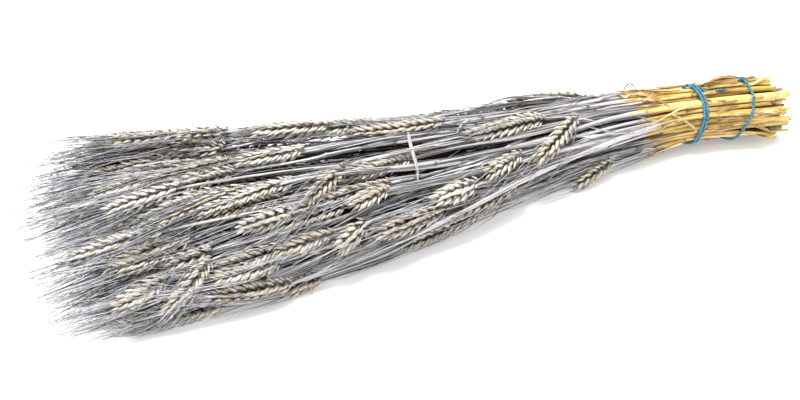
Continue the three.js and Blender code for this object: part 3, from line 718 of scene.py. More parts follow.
# Each scale of a spikelet: how far it leans out from the rachis and turns to the ear's face, in degrees,
# where it starts (along, outwards, towards the face), its length, width and thickness in mm, and its
# awn's share.
SPIKELET = np.array([
    (28, 12, 0.0, 0.4, 2.1, 13.6, 3.6, 2.9, 1.0),
    (28, -12, 0.0, 0.4, -2.1, 13.6, 3.6, 2.9, 1.0),
    (36, 0, 2.0, 2.4, 0.0, 11.8, 3.5, 2.9, 0.8),
    (38, 23, -1.2, 1.5, 3.0, 9.8, 2.9, 1.9, 0.0),
    (38, -23, -1.2, 1.5, -3.0, 9.8, 2.9, 1.9, 0.0),
])
AWN_TONES = [0.0, 0.75, 0.95]

shape = rod(6, 5, 0.5, 0.5)
for along, wide, thick in ((0, 0.45, 0.45), (0.25, 0.9, 0.95), (0.5, 0.86, 0.95), (0.75, 0.44, 0.55)):
    resize_ring(shape, along, wide, thick)
choose(shape, "verts", lambda v: v.co.x > 0.99)
bpy.ops.mesh.merge(type="CENTER")
choose(shape, "verts", lambda v: 0.1 < v.co.x < 0.9)
bpy.ops.transform.translate(value=(0, 0, 0.14))
choose(shape, "verts", lambda v: 0.1 < v.co.x < 0.6 and v.co.z > 0.4)
bpy.ops.transform.translate(value=(0, 0, 0.1))
scale_shape = measured(shape)
awn_shape = measured(rod(3, 6, 1, 0.3))


def ear_roll(stalk, way):
    """How far the ear is turned about its own length. On top of the heap it shows its ranks of spikelets."""
    at_foot = way.at(way.reached(stalk["foot"]))
    middle, _ = outline_at(min(stop_near(at_foot[0]), len(STOPS) - 8))
    heading = math.degrees(math.atan2(at_foot[1] - middle[0], at_foot[2] - middle[1] + 20 * MM))
    return math.radians(45 if heading < 20 else 45 - 2 * (heading - 20)) + chance.normal(0, 0.42)


def ear_parts(stalk, way):
    """The ear and its awns, laid along the end of the way."""
    foot, end, last = [way.reached(stalk[key]) for key in ("foot", "ear_tip", "tip")]
    roll = ear_roll(stalk, way)
    spikelets = int(np.clip((end - foot) / SPIKELET_STEP, FEWEST_SPIKELETS, MOST_SPIKELETS))
    order = np.repeat(np.arange(spikelets), len(SPIKELET))
    kind = np.tile(SPIKELET, (spikelets, 1))
    count = len(order)
    share = order / (spikelets - 1)
    rank = np.where(order % 2, 1.0, -1.0)
    size = np.sin(np.pi * (0.2 + 0.6 * share)) ** 0.6 * chance.uniform(0.98, 1.18)
    lean = np.radians(kind[:, 0] * (1 - 0.45 * share) + chance.normal(0, 3, count))
    turn = np.radians(kind[:, 1] + chance.normal(0, 4, count))
    ahead = np.stack([np.cos(lean) * np.cos(turn), rank * np.sin(lean) * np.cos(turn), np.sin(turn)], -1)
    face = np.sign(kind[:, 1])
    outward = np.stack([0 * face, rank * np.where(face == 0, 1, 0.62), 0.78 * face], -1)
    outward = unit(outward - ahead * (outward * ahead).sum(1)[:, None])
    broad = np.cross(outward, ahead)
    start = np.stack([
        foot + share * (end - foot - 8 * MM) + kind[:, 2] * MM,
        rank * kind[:, 3] * MM * size,
        kind[:, 4] * MM * size,
    ], -1)
    length, width, thick = [
        kind[:, column] * MM * size * chance.normal(1, 0.06, count) for column in (5, 6, 7)
    ]
    corners = scale_shape[0]
    local = start[:, None]
    for axis, way_out, reach in ((0, ahead, length), (1, broad, width), (2, outward, thick)):
        local = local + way_out[:, None] * (corners[None, :, axis:axis + 1] * reach[:, None, None])
    tips = start + ahead * length[:, None]

    def turned(along, rank_side, face_side):
        """From the ear's own sides to the way's, by the ear's roll."""
        aside = rank_side * math.cos(roll) + face_side * math.sin(roll)
        over = face_side * math.cos(roll) - rank_side * math.sin(roll)
        return way.lay(along, aside, over).reshape(-1, 3)

    tone = np.clip(chance.normal(0.55, 0.2) + chance.normal(0, 0.13, count), 0, 1)
    places = turned(local[..., 0], local[..., 1], local[..., 2])
    tones, roots = np.repeat(tone, len(corners)), np.tile(corners[:, 0], count)
    ear = (places, *copies(scale_shape, count)), "ear", tones, roots

    bearded = kind[:, 8] > chance.uniform(0.2, 1.25 if stalk["ear_tip"] < -0.22 else 1.75, count)
    tips, many = tips[bearded], int(bearded.sum())
    stray = chance.normal(-1, 6, many) + chance.exponential(5, many)
    longest = np.clip(last - tips[:, 0] + stray * MM, 15 * MM, None)
    reach = chance.normal(74, 13, many) * chance.uniform(0.8, 1.12) * MM * kind[bearded, 8] ** 0.5
    reach = np.minimum(reach, longest)[:, None]
    spread = np.tan(np.radians(np.clip(chance.normal(2.6, 3.2, many), -2, 14)))[:, None]
    corners = awn_shape[0]
    share = corners[None, :, 0] * np.ones((many, 1))
    run = share * reach
    away = np.hypot(tips[:, 1], tips[:, 2])[:, None] + 1.4 * MM * (1 - np.exp(-run / (9 * MM))) + run * spread
    away = away + (chance.normal(0, 3.2, many) * MM)[:, None] * np.sin(2.4 * share)
    around = np.arctan2(tips[:, 2], tips[:, 1])[:, None] + chance.normal(0, 0.4, many)[:, None] * share
    thin = chance.uniform(0.38, 0.56, many)[:, None] * MM
    rank_side = away * np.cos(around) + corners[None, :, 1] * thin
    face_side = away * np.sin(around) + corners[None, :, 2] * thin
    tone = np.clip(chance.choice(AWN_TONES, many) + chance.normal(0, 0.1, many), 0, 1)
    places = tucked(turned(tips[:, :1] - 0.6 * MM + run, rank_side, face_side))
    return [ear, ((places, *copies(awn_shape, many)), "awn", np.repeat(tone, len(corners)), share.ravel())]


# The leaves
# Dead leaf blades and torn sheaths still hang on the outer stalks: thin, ribbed ribbons, folded along the
# middle, that twist as they dry and lie over their neighbours.

BLADE_STEPS, BLADE_ACROSS = 24, 4
RANDOM_BLADES, TORN_SHEATHS = 40, 44
# Where the larger blades leave their stalks, the side they lie on in degrees from straight up towards +Y,
# their length and width in mm, how far they lift, drift and curl.
BLADES = [
    (205, -20, 74, 3.0, 2, 0.05, 0.3), (168, -58, 58, 2.8, 2, -0.05, 0.6), (148, 48, 88, 4.0, 4, 0.08, 0.5),
    (92, 6, 66, 2.8, 2, -0.1, 0.7), (60, -44, 80, 3.0, 2, 0.05, 0.6), (12, -8, 70, 2.6, 2, 0.1, 0.8),
    (-20, -66, 62, 3.0, 2, 0.0, 0.5),
]

deselect_everything()
bpy.ops.mesh.primitive_grid_add(
    x_subdivisions=BLADE_STEPS, y_subdivisions=BLADE_ACROSS, size=1, location=(0.5, 0, 0)
)
shape = bpy.context.object
bpy.ops.object.transform_apply(location=True)
bpy.ops.object.mode_set(mode="EDIT")
choose(shape, "verts", lambda v: abs(v.co.y) > 0.45)
bpy.ops.transform.translate(value=(0, 0, 0.16))
choose(shape, "verts", lambda v: 0.2 < abs(v.co.y) < 0.3)
bpy.ops.transform.translate(value=(0, 0, 0.07))
bpy.ops.object.mode_set(mode="OBJECT")
solid = shape.modifiers.new("Thickness", "SOLIDIFY")
solid.thickness = 0.05
bpy.ops.object.modifier_apply(modifier=solid.name)
blade_shape = measured(shape)


def surface(x, toward, across):
    """How far out the bundle's skin lies at x, on the side it is seen from, at a place across that side."""
    out, side = facing(toward)
    there, held = stalks_at(np.float64(x))
    near = (held > 0) & (np.abs(there @ side - across) < held + 2.5 * MM)
    return (there[near] @ out + held[near]).max() if near.any() else (there @ out).mean()


def leaf_part(stalk, x, toward, length, width, lift, drift, curl, tone):
    """A blade that leaves its stalk at x, lies on the bundle's skin on one side and drifts across it."""
    toward = math.radians(toward)
    out = np.array([0, math.sin(toward), math.cos(toward)])
    side = np.array([0, -math.cos(toward), math.sin(toward)])
    steps = np.linspace(0, 1, 14)
    root = np.array([x, *between(-x, -STOPS, stalk["line"])])
    across = root @ -side + drift * length * steps**1.3 + curl * 3 * MM * np.sin(5 * steps) * steps
    along = x - length * steps * 0.98
    height = np.array([surface(a, toward, w) for a, w in zip(along, across)])
    height = evened(evened(height, 3) + 0.8 * MM + lift * MM * np.sin(np.pi * steps) * steps, 2)
    height[0] = root @ out + straw_radius(stalk, x) * 0.6
    height[1] = max(height[1] * 0.5 + height[0] * 0.5, height[0])
    spine = np.c_[along, -across * side[1] + height * out[1], -across * side[2] + height * out[2]]
    corners, runs, counts = blade_shape
    share = np.clip(corners[:, 0], 0, 1)
    taper = np.minimum(1, 0.35 + 4 * share) * np.clip(1.08 - share**2.2, 0.1, 1)
    twist = (curl * (2.4 * share**1.5 + 0.4 * np.sin(7 * share)))[:, None]
    flat, proud = np.cos(twist) * side + np.sin(twist) * out, np.cos(twist) * out - np.sin(twist) * side
    places = between(share, steps, spine) + (corners[:, 1] * width * MM * taper)[:, None] * flat
    places = places + (corners[:, 2] * width * MM * np.sqrt(taper))[:, None] * proud
    return (places, runs, counts), "leaf", np.full(len(corners), tone), share


def outermost(x, toward, offset=0.0):
    """The stalk that lies furthest out at x on one side of the bundle."""
    out, _ = facing(math.radians(toward + offset))
    fit = [stalk for stalk in stalks if stalk["foot"] < x - 40 * MM and stalk["butt"] > x]
    return max(fit, key=lambda stalk: stalk["line"][stop_near(x)] @ out)


leaves = {id(stalk): [] for stalk in stalks}
for x, toward, length, width, lift, drift, curl in BLADES:
    stalk = outermost(x * MM, toward)
    tone = chance.uniform(0.4, 0.8)
    leaves[id(stalk)].append(leaf_part(stalk, x * MM, toward, length * MM, width, lift, drift, curl, tone))
for _ in range(RANDOM_BLADES):
    x = chance.uniform(40, 240) * MM
    toward = chance.uniform(-115, 70)
    stalk = outermost(x, toward, chance.normal(0, 12))
    leaves[id(stalk)].append(leaf_part(
        stalk, x, toward, chance.uniform(40, 105) * MM, chance.uniform(1.0, 2.6), chance.uniform(0.2, 1.4),
        chance.normal(0, 0.12), chance.normal(0, 0.5), chance.uniform(0.0, 0.8),
    ))
# The torn sheaths hang round the butts and up to the edge of the spray, and end short of a tie.
for _ in range(TORN_SHEATHS):
    x = chance.choice([chance.uniform(312, 340), chance.uniform(270, 298), chance.uniform(196, 250)]) * MM
    toward = chance.uniform(-120, 100)
    stalk = outermost(x - 20 * MM, toward, chance.normal(0, 8))
    reach = min(chance.uniform(16, 55) * MM, x - (0.308 if x > 0.305 else 0.263 if x > 0.262 else 0.15))
    leaves[id(stalk)].append(leaf_part(
        stalk, x, toward, max(reach, 8 * MM), chance.uniform(1.6, 3.8), chance.uniform(0.0, 0.9),
        chance.normal(0, 0.16), chance.normal(0, 0.5), chance.uniform(0.15, 1.0),
    ))

# Strips and husks that stand out: a ribbon across the middle, loose strands at the edge of the spray,
# curls along the top, brown husks at the ties. Each has its path as seen from the front, then its width
# in mm, its half turns, its tone and how far it stands off the heap in mm.
RIBBONS = [
    ([(408, 132), (410, 143), (414, 156), (418, 170), (418, 186)], 2.8, 0.35, 0.3, 2.5),
    ([(623, 92), (625, 86), (630, 83), (635, 86), (638, 92)], 1.5, 0.6, 0.25, 0.6),
    ([(638, 97), (643, 102), (647, 97), (652, 102), (655, 97)], 2.4, 1.6, 0.95, 1.0),
    ([(612, 99), (618, 94), (625, 98), (632, 95)], 2.0, 1.4, 0.85, 0.8),
    ([(699, 104), (688, 106), (677, 110), (663, 119), (645, 127), (627, 133)], 1.9, 0.6, 0.8, 2.2),
    ([(660, 121), (640, 129), (622, 139), (604, 151)], 1.8, 0.5, 0.7, 1.6),
    ([(671, 114), (682, 119), (692, 126), (699, 132)], 2.4, 0.3, 0.5, 1.2),
    ([(636, 93), (648, 95), (660, 100), (670, 107)], 2.6, 0.5, 0.6, 1.0),
    ([(737, 77), (722, 77), (711, 81), (703, 85), (697, 88)], 3.8, 0.5, 0.3, 0.6),
    ([(738, 81), (726, 81), (715, 84), (706, 88)], 3.2, -0.4, 0.4, 0.8),
    ([(736, 85), (724, 87), (714, 88)], 2.6, 0.3, 0.18, 0.4),
    ([(733, 79), (722, 80), (712, 82), (703, 86)], 3.6, 0.2, 0.32, 0.5),
    ([(742, 78), (732, 78), (721, 78), (711, 81)], 3.4, 0.3, 0.42, 0.6),
    ([(687, 86), (674, 87), (660, 88), (646, 88)], 3.0, 0.4, 0.26, 0.6),
    ([(684, 91), (668, 92), (654, 92), (642, 90)], 2.4, -0.4, 0.4, 0.5),
    ([(657, 96), (647, 93), (636, 90), (628, 91)], 2.6, 0.5, 0.22, 0.8),
    ([(664, 152), (657, 149), (648, 149), (640, 153)], 3.2, 0.8, 0.38, 1.0),
    ([(667, 147), (659, 150), (652, 156)], 2.4, 0.3, 0.5, 1.0),
    ([(716, 117), (722, 110), (732, 106), (741, 106)], 2.8, 0.4, 0.36, 0.4),
    ([(728, 121), (738, 117), (748, 119)], 2.2, 0.5, 0.3, 0.4),
    ([(770, 131), (758, 127), (745, 123), (733, 121)], 3.0, 0.2, 0.62, 1.0),
    ([(738, 133), (727, 130), (716, 130)], 2.4, 0.2, 0.3, 0.5),
    ([(560, 128), (552, 134), (546, 143)], 2.0, 0.5, 0.8, 1.2),
    ([(470, 118), (462, 124), (456, 134)], 1.6, 0.4, 0.75, 1.2),
    ([(608, 166), (598, 168), (585, 167), (572, 172)], 2.2, 0.5, 0.6, 1.0),
]


def seen_path(spots, lift):
    """A path over the heap's skin from where it shows in the view, which bridges the hollows on its way."""
    ends = np.linspace(0, 1, len(spots))
    rays, reach = [], []
    for column, row in between(np.linspace(0, 1, 13), ends, np.array(spots)):
        ray, far, places = down_sight(column, row, 2 * MM, 1 * MM)
        gaps = gaps_to_heap(places, 1)
        near = np.flatnonzero(gaps < 0.3 * MM)
        reach.append(far[near[0] if len(near) else gaps.argmin()])
        rays.append(ray)
    reach = np.array(reach)
    for _ in range(30):
        reach[1:-1] = np.minimum(reach[1:-1], (reach[:-2] + reach[2:]) / 2)
    return VIEW_EYE + (reach - lift)[:, None] * rays


def ribbon_part(points, width, twist, tone):
    """A dry strip that follows its own path and turns over by so many half turns."""
    apart = distances(points)
    steps = np.linspace(0, 1, 25)
    spine = evened(between(steps * apart[-1], apart, points), 6)
    corners, runs, counts = blade_shape
    share = np.clip(corners[:, 0], 0, 1)
    run = unit(between(share, steps, np.gradient(spine, axis=0)))
    side = unit(np.cross([0, -0.55, 0.83], run))
    out = np.cross(run, side)
    turn = (twist * math.pi * share)[:, None]
    flat, proud = side * np.cos(turn) + out * np.sin(turn), out * np.cos(turn) - side * np.sin(turn)
    taper = (np.minimum(1, 0.4 + 5 * share) * np.minimum(1, 0.3 + 5 * (1 - share)) * width * MM)[:, None]
    places = between(share, steps, spine) + corners[:, 1:2] * taper * flat + corners[:, 2:] * taper * proud
    return (places, runs, counts), "leaf", np.full(len(corners), tone), share


for spots, width, twist, tone, lift in RIBBONS:  # each grows from the stalk that lies nearest to its start
    path = seen_path(spots, lift * MM)
    k = stop_near(path[0, 0])
    nearest = min(stalks, key=lambda s: np.linalg.norm(s["line"][k] - path[0, 1:]) + (s["foot"] > path[0, 0]))
    leaves[id(nearest)].append(ribbon_part(path, width, twist, tone))

# The skins of straw, ear, awn and leaf
# Dry straw is a shiny pale gold with fine ribs. The spray is a matt silver that covers what faces up and
# ends in a ragged line short of the ties, and the chaff's own cream shows through it on the ears.

PAINT_ENDS, PAINT_SLANT, PAINT_RAGGED, PAINT_FADES = 0.207, -0.30, 9 * MM, 2.5 * MM
PAINT_COVERS = {"straw": 0.86, "ear": 0.52, "awn": 0.78, "leaf": 0.8}
AGED_STREAKS = (7, 210, 210)
# Colours from dark to light over the tone.
STRAW_GOLD = [
    (0, 0.12, 0.062, 0.012), (0.3, 0.44, 0.29, 0.055), (0.6, 0.60, 0.44, 0.115), (1, 0.67, 0.54, 0.24),
]
STRAW_TAN = [
    (0, 0.09, 0.04, 0.01), (0.3, 0.36, 0.19, 0.045), (0.6, 0.56, 0.37, 0.12), (1, 0.68, 0.54, 0.27),
]
CHAFF_CREAM = [
    (0, 0.19, 0.14, 0.08), (0.35, 0.46, 0.39, 0.27), (0.65, 0.62, 0.56, 0.44), (1, 0.74, 0.70, 0.62),
]
CHAFF_TAN = [
    (0, 0.18, 0.14, 0.09), (0.35, 0.43, 0.36, 0.25), (0.65, 0.61, 0.54, 0.40), (1, 0.74, 0.70, 0.61),
]
AWN_GREY = [(0, 0.14, 0.12, 0.09), (0.5, 0.30, 0.28, 0.25), (1, 0.48, 0.46, 0.42)]
AWN_TAN = [(0, 0.14, 0.11, 0.07), (0.5, 0.30, 0.25, 0.18), (1, 0.48, 0.44, 0.36)]
HUSK_BROWN = [
    (0, 0.16, 0.07, 0.02), (0.4, 0.37, 0.23, 0.08), (0.7, 0.50, 0.37, 0.17), (1, 0.62, 0.51, 0.31),
]
SILVER = [(0.1, 0.10, 0.095, 0.10), (0.42, 0.465, 0.455, 0.452), (0.8, 0.485, 0.478, 0.478)]
WARM_SILVER = [(0.1, 0.11, 0.10, 0.09), (0.42, 0.47, 0.45, 0.42), (0.8, 0.50, 0.485, 0.46)]
COOL_SILVER = [(0.1, 0.015, 0.015, 0.018), (0.45, 0.26, 0.26, 0.277), (0.8, 0.50, 0.50, 0.52)]
# Painted shade: how much darker the colour is painted where little light reaches.
PAINTED_SHADE_INSIDE = [(0, 0.03, 0.026, 0.024), (0.45, 0.26, 0.24, 0.23), (0.85, 1, 1, 1)]
# Painted shade from a part's root on: a scale of the ear is painted darker where the next one covers it and
# shades it.
EVEN = [(0, 1, 1, 1), (1, 1, 1, 1)]
SHADED_SCALE_ROOT = [(0, 0.1, 0.1, 0.1), (0.2, 0.5, 0.5, 0.5), (0.42, 1, 1, 1)]


def feed(tree, socket, source):
    """Gives a socket a number, or what another node makes."""
    if isinstance(source, (int, float)):
        socket.default_value = source
    else:
        tree.links.new(source, socket)


def node(tree, kind, **values):
    """Adds a node and sets its inputs by name."""
    made = tree.nodes.new(kind)
    for name, value in values.items():
        made.inputs[name].default_value = value
    return made


def noise(tree, scale, detail, roughness):
    """Unevenness over the piece's own places, which three scales stretch."""
    own = tree.nodes.get("Texture Coordinate") or tree.nodes.new("ShaderNodeTexCoord")
    places = own.outputs["Object"]
    if isinstance(scale, tuple):
        stretch = node(tree, "ShaderNodeMapping", Scale=scale)
        tree.links.new(places, stretch.inputs["Vector"])
        places, scale = stretch.outputs["Vector"], 1.0
    made = node(tree, "ShaderNodeTexNoise", Scale=scale, Detail=detail, Roughness=roughness)
    tree.links.new(places, made.inputs["Vector"])
    return made.outputs["Fac"]


def ramp(tree, source, stops):
    """A run of colours over a value."""
    made = tree.nodes.new("ShaderNodeValToRGB")
    while len(made.color_ramp.elements) < len(stops):
        made.color_ramp.elements.new(0.5)
    for element, (place, *colour) in zip(made.color_ramp.elements, stops):
        element.position = place
        element.color = (*colour, 1)
    tree.links.new(source, made.inputs["Fac"])
    return made.outputs["Color"]


def reckon(tree, operation, *sources):
    """Arithmetic on values."""
    made = tree.nodes.new("ShaderNodeMath")
    made.operation = operation
    for socket, source in zip(made.inputs, sources):
        feed(tree, socket, source)
    return made.outputs[0]


def blend(tree, share, one, other, kind="MIX"):
    """A mix of two colours, or one multiplied by the other."""
    made = tree.nodes.new("ShaderNodeMix")
    made.data_type, made.blend_type = "RGBA", kind
    for name, source in (("Factor", share), ("A", one), ("B", other)):
        feed(tree, made.inputs[name], source)
    return made.outputs["Result"]


def bumps(tree, height, strength, distance):
    """Fine relief on the shader of a skin."""
    made = node(tree, "ShaderNodeBump", Strength=strength, Distance=distance)
    tree.links.new(height, made.inputs["Height"])
    tree.links.new(made.outputs["Normal"], tree.nodes["Principled BSDF"].inputs["Normal"])


def new_skin(name):
    """A new material, with its node tree and its shader."""
    skin = bpy.data.materials.new(name)
    skin.use_nodes = True
    return skin, skin.node_tree, skin.node_tree.nodes["Principled BSDF"]


def wheat_skin(name, bare, aged, painted, fibre_scale, rib_depth, shine, show_through, root_shade):
    """Dry straw under silver spray. The attribute tells tone, distance from the root, spray and light, and
    the skin paints shade from the light and the root.
    """
    skin, tree, shader = new_skin(name)
    told = tree.nodes.new("ShaderNodeAttribute")
    told.attribute_name = "told"
    split = tree.nodes.new("ShaderNodeSeparateColor")
    tree.links.new(told.outputs["Color"], split.inputs["Color"])
    tone, root, spray = split.outputs
    fibre = noise(tree, fibre_scale, 3.0, 0.6)
    blotch = noise(tree, 120.0, 4.0, 0.65)
    uneven = reckon(tree, "MULTIPLY_ADD", fibre, 1.2, -0.6)
    uneven = reckon(tree, "MULTIPLY_ADD", blotch, 0.5, reckon(tree, "ADD", uneven, -0.25))
    toned = reckon(tree, "ADD", tone, uneven)
    is_aged = ramp(tree, noise(tree, AGED_STREAKS, 2.0, 0.5), [(0.47, 0, 0, 0), (0.60, 1, 1, 1)])
    bare_colour = blend(tree, is_aged, ramp(tree, toned, bare), ramp(tree, toned, aged))
    paint_tone = reckon(tree, "MULTIPLY_ADD", tone, 0.7, reckon(tree, "ADD", uneven, 0.15))
    edge = reckon(tree, "MULTIPLY_ADD", blotch, 1.1, -0.55)
    edge = reckon(tree, "ADD", edge, reckon(tree, "MULTIPLY_ADD", fibre, show_through, -show_through / 2))
    cover = ramp(tree, reckon(tree, "ADD", spray, edge), [(0.42, 0, 0, 0), (0.62, 1, 1, 1)])
    light = reckon(tree, "MULTIPLY", told.outputs["Alpha"], ramp(tree, root, root_shade))
    colour = blend(tree, cover, bare_colour, ramp(tree, paint_tone, painted))
    # Painted shade: the colour is painted darker deep in the heap and at each part's covered root.
    colour = blend(tree, 1, colour, ramp(tree, light, PAINTED_SHADE_INSIDE), "MULTIPLY")
    tree.links.new(colour, shader.inputs["Base Color"])
    tree.links.new(reckon(tree, "MULTIPLY", cover, shine), shader.inputs["Metallic"])
    tree.links.new(reckon(tree, "MULTIPLY_ADD", fibre, 0.2, 0.32), shader.inputs["Roughness"])
    bumps(tree, fibre, rib_depth, 0.0005)
    return skin


skins = {kind: wheat_skin(f"{kind}_skin", *values) for kind, values in {
    "straw": (STRAW_GOLD, STRAW_TAN, SILVER, (14, 620, 620), 0.6, 0.22, 0.5, EVEN),
    "ear": (CHAFF_CREAM, CHAFF_TAN, WARM_SILVER, (60, 500, 500), 0.4, 0.25, 0.7, SHADED_SCALE_ROOT),
    "awn": (AWN_GREY, AWN_TAN, COOL_SILVER, (40, 300, 300), 0.1, 0.3, 0.3, EVEN),
    "leaf": (HUSK_BROWN, STRAW_TAN, SILVER, (16, 700, 700), 0.6, 0.3, 0.5, EVEN),
}.items()}


def sprayed(places, kind):
    """How much spray reached each place: none past the ragged line, and little on what others cover."""
    x, y, z = places.T
    ragged = np.sin(y * 640 + 1.3) + np.sin(z * 930 + y * 310) + np.sin(y * 1700 + z * 1400 + 2)
    line = PAINT_ENDS + PAINT_SLANT * y + PAINT_RAGGED * ragged * 0.8
    return (PAINT_COVERS[kind] - 0.5 * (1 - lit(places))) / (1 + np.exp((x - line) / PAINT_FADES))


def within(values, limit, softness):
    """Draws in softly what would pass a limit."""
    over = values > limit - softness
    return np.where(over, limit - softness * np.exp(-(values - limit + softness) / softness), values)


def joined(shapes):
    """Several shapes as one."""
    shift = np.cumsum([0] + [len(corners) for corners, _, _ in shapes[:-1]])
    corners = np.vstack([corners for corners, _, _ in shapes])
    runs = np.concatenate([runs + s for (_, runs, _), s in zip(shapes, shift)])
    return corners, runs, np.concatenate([counts for _, _, counts in shapes])


def new_piece(name, shape, materials):
    """A smooth piece with its place in its mesh."""
    corners, runs, counts = shape
    mesh = bpy.data.meshes.new(name)
    mesh.vertices.add(len(corners))
    mesh.vertices.foreach_set("co", corners.ravel())
    mesh.loops.add(len(runs))
    mesh.loops.foreach_set("vertex_index", runs.astype(np.int32))
    mesh.polygons.add(len(counts))
    mesh.polygons.foreach_set("loop_start", np.r_[0, np.cumsum(counts)[:-1]].astype(np.int32))
    mesh.polygons.foreach_set("use_smooth", np.ones(len(counts), dtype=bool))
    for material in materials:
        mesh.materials.append(material)
    piece = bpy.data.objects.new(name, mesh)
    bpy.context.scene.collection.objects.link(piece)
    return piece


# The space that the awns and the uppermost ears stay in: axis, side, how far in mm, and how softly they
# are held.
SPACE = [(2, -1, 0.0, 1.2), (2, 1, 74.9, 3), (1, 1, 116.3, 4), (1, -1, 116.3, 4), (0, -1, 368, 9)]

for order, stalk in enumerate(stalks):
    way = Way(stalk)
    parts = [straw_part(stalk, way), shreds_part(stalk, way), *ear_parts(stalk, way), *leaves[id(stalk)]]
    corners, runs, counts = joined([shape for shape, _, _, _ in parts])
    # The fourth value is the light that reaches each corner, which the skins paint in as shade.
    told = np.c_[
        np.concatenate([tone for _, _, tone, _ in parts]), np.concatenate([root for _, _, _, root in parts]),
        np.concatenate([sprayed(shape[0], kind) for shape, kind, _, _ in parts]), lit(corners),
    ]
    for axis, side, limit, softness in SPACE:
        corners[:, axis] = side * within(side * corners[:, axis], limit * MM, softness * MM)
    piece = new_piece(f"wheat_{order + 1:02d}", (corners, runs, counts), skins.values())
    kinds = [np.full(len(shape[2]), list(skins).index(kind), dtype=np.int32) for shape, kind, _, _ in parts]
    piece.data.polygons.foreach_set("material_index", np.concatenate(kinds))
    piece.data.update(calc_edges=True)
    attribute = piece.data.attributes.new("told", "FLOAT_COLOR", "POINT")
    attribute.data.foreach_set("color", told.ravel().astype(np.float32))
    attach(piece, "root")
    if stalk["node"]:
        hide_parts(stalk["node"])

# The ties
# Two ties of blue twine, each of three hard-twisted plies. The one nearer the ears goes round twice and is
# knotted on top, and the other goes round once.

PLY_RADIUS, PLY_APART = 0.78 * MM, 0.62 * MM
PLY_TWIST = 8 * MM  # along the twine for one turn
WRAP_RADIUS, WRAP_TURNS = 0.7 * MM, 1.6
LOOP_RINGS, WRAP_RINGS, TAIL_RINGS = 200, 60, 26
TWINE_BLUE = [(0.3, 0.001, 0.02, 0.045), (0.5, 0.012, 0.13, 0.22), (0.7, 0.15, 0.42, 0.52)]
# For each tie where it goes round, how it slants, its loops' offsets in mm, its knot's place in degrees
# round the bundle, and how far each of its ends runs along and across in mm.
TIES = [
    ("tie_upper", 262 * MM, 0.24, (-1.4, 1.4), 82, ((-10, -4), (24, 17))),
    ("tie_lower", 303 * MM, 0.40, (0,), 84, ((-3.5, -1.5), (3, 1.5))),
]

ply_shapes = {rings: measured(rod(6, rings)) for rings in (LOOP_RINGS, WRAP_RINGS, TAIL_RINGS)}


def swept(line, radius):
    """A closed-ended round strand along a run of points."""
    corners, runs, counts = ply_shapes[len(line)]
    spot = np.round(corners[:, 0] * (len(line) - 1)).astype(int)
    run = unit(np.gradient(line, axis=0))
    side = unit(np.cross(run, np.where(np.abs(run[:, :1]) < 0.8, [[1.0, 0, 0]], [[0, 0, 1.0]])))
    up = np.cross(run, side)
    places = line[spot] + corners[:, 1:2] * radius * side[spot] + corners[:, 2:] * radius * up[spot]
    return places, runs, counts


def plies(line, closed):
    """Three plies twisted round each other along a line."""
    length = distances(line)
    twist = length / length[-1] * max(1, round(length[-1] / PLY_TWIST)) * 2 * math.pi
    run = np.gradient(line, axis=0)
    if closed:
        run[0] = run[-1] = line[1] - line[-2]
    run = unit(run)
    side = unit(np.cross(run, [[1.0, 0, 0]]))
    up = np.cross(side, run)
    phases = [(twist + ply * 2 * math.pi / 3)[:, None] for ply in range(3)]
    ways_out = [np.cos(phase) * side + np.sin(phase) * up for phase in phases]
    return [swept(line + PLY_APART * out, PLY_RADIUS) for out in ways_out]


def loop_line(x, slant):
    """The tight loop round all the straws in a slanted plane."""
    heights = np.array([np.interp(-x, -STOPS, stalk["line"][:, 1]) for stalk in stalks])
    height = np.mean(heights)
    places = x + slant * (heights - height)
    centres = np.array([between(-at, -STOPS, stalk["line"]) for at, stalk in zip(places, stalks)])
    reaches = np.array([straw_radius(stalk, at) for at, stalk in zip(places, stalks)])
    reaches = reaches + PLY_RADIUS + PLY_APART * 0.9
    angles = np.linspace(0, 2 * math.pi, 145)
    support = centres[:, :1] * np.cos(angles) + centres[:, 1:] * np.sin(angles) + reaches[:, None]
    support = support.max(0)
    for _ in range(14):
        support = np.r_[0, (support[:-2] + support[1:-1] + support[2:]) / 3, 0]
        support[0] = support[-1] = (support[1] + support[-2]) / 2
    slope = np.gradient(support, angles)
    slope[0] = slope[-1] = (support[1] - support[-2]) / (angles[1] - angles[0]) / 2
    y = support * np.cos(angles) - slope * np.sin(angles)
    z = support * np.sin(angles) + slope * np.cos(angles)
    line = np.c_[x + slant * (z - height), y, z]
    length = distances(line)
    return between(np.linspace(0, length[-1], LOOP_RINGS), length, line)


def knot_and_ends(loops, knot, tails):
    """The wrap of the knot on top of the loops, and its ends, which lie down on the straws."""
    angle = math.radians(knot)
    out = np.array([0, math.cos(angle), math.sin(angle)])
    middle = loops[0].mean(0)
    spots = [line[((line - middle) @ out).argmax()] for line in loops]
    heart = np.mean(spots, 0) + out * WRAP_RADIUS
    ahead = np.array([1.0, 0, 0])
    side = np.cross(ahead, out)
    turns = np.linspace(0, 2 * math.pi * WRAP_TURNS, WRAP_RINGS)
    wrap = heart + (1.3 * MM * np.cos(turns))[:, None] * ahead + (1.0 * MM * np.sin(turns))[:, None] * out
    wrap = wrap + (np.linspace(-1.1, 1.1, WRAP_RINGS) * MM)[:, None] * side
    strands = [swept(wrap, WRAP_RADIUS)]
    share = np.linspace(0, 1, TAIL_RINGS)
    for along, aside in tails:
        line = heart + share[:, None] * (along * MM * ahead + aside * MM * side)
        low = np.array([surface(spot[0], math.pi / 2 - angle, -spot[1:] @ side[1:]) for spot in line])
        off = evened(low, 6) + (0.9 - 2.4 * np.sin(math.pi * share) ** 2) * MM - line @ out
        strands += plies(line + (off * np.clip(share * 4, 0, 1))[:, None] * out, False)
    return strands


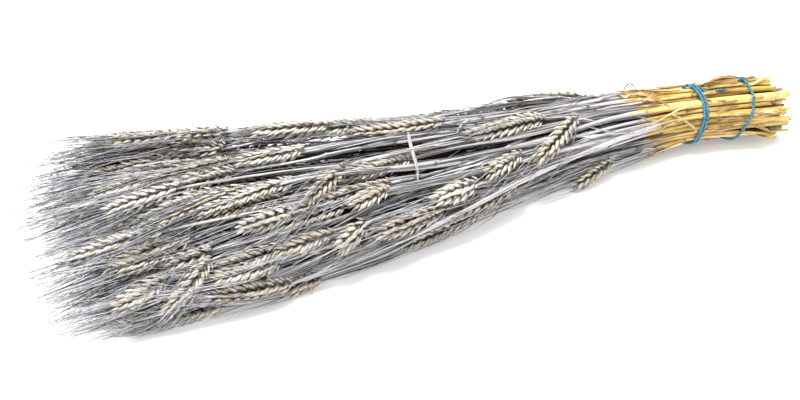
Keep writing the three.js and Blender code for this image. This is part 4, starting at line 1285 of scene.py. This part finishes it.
twine_skin, tree, shader = new_skin("twine_skin")
fluff = noise(tree, 900.0, 3.0, 0.6)
tree.links.new(ramp(tree, fluff, TWINE_BLUE), shader.inputs["Base Color"])
shader.inputs["Roughness"].default_value = 0.45
bumps(tree, fluff, 0.4, 0.0003)

for tie, x, slant, offsets, knot, tails in TIES:
    loops = [loop_line(x + offset * MM, slant) for offset in offsets]
    strands = [ply for line in loops for ply in plies(line, True)] + knot_and_ends(loops, knot, tails)
    corners, runs, counts = joined(strands)
    corners[:, 2] = -within(-corners[:, 2], 0.0, 0.8 * MM)
    piece = new_piece(f"twine_{tie[4:]}", (corners, runs, counts), [twine_skin])
    piece.data.update(calc_edges=True)
    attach(piece, "root")
    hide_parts(tie)

# The studio
# A plain white floor that reaches the horizon, a soft lamp above, and even white light all round.

FLOOR_SIZE, FLOOR_WHITE, FLOOR_GLOW = 60, 0.93, 0.2
LIGHT_AROUND = 1.1
LAMP_PLACE, LAMP_ENERGY, LAMP_SOFTNESS = (-0.16, 0.14, 1.4), 4.9, 24

deselect_everything()
bpy.ops.mesh.primitive_plane_add(size=FLOOR_SIZE, location=(0, 0, 0))
floor = bpy.context.object
floor.name = "studio_floor"
white, _, shader = new_skin("floor_white")
shader.inputs["Base Color"].default_value = (FLOOR_WHITE, FLOOR_WHITE, FLOOR_WHITE, 1)
shader.inputs["Roughness"].default_value = 0.9
shader.inputs["Emission Color"].default_value = (1, 1, 1, 1)
shader.inputs["Emission Strength"].default_value = FLOOR_GLOW
floor.data.materials.append(white)

world = bpy.data.worlds.new("studio_light")
bpy.context.scene.world = world
world.use_nodes = True
world.node_tree.nodes["Background"].inputs["Color"].default_value = (1, 1, 1, 1)
world.node_tree.nodes["Background"].inputs["Strength"].default_value = LIGHT_AROUND

bpy.ops.object.light_add(type="SUN", location=LAMP_PLACE)
lamp = bpy.context.object
lamp.name = "studio_lamp"
lamp.data.energy = LAMP_ENERGY
lamp.data.angle = math.radians(LAMP_SOFTNESS)
lamp.rotation_euler = (Vector((0, 0, 0)) - lamp.location).to_track_quat("-Z", "Y").to_euler()

bpy.ops.object.camera_add(location=VIEW_EYE)
camera = bpy.context.object
camera.data.lens = VIEW_LENS
camera.data.sensor_width = VIEW_FILM
camera.rotation_euler = (-Vector(VIEW_AWAY)).to_track_quat("-Z", "Y").to_euler()
bpy.context.scene.camera = camera
bpy.context.scene.view_settings.view_transform = "Standard"
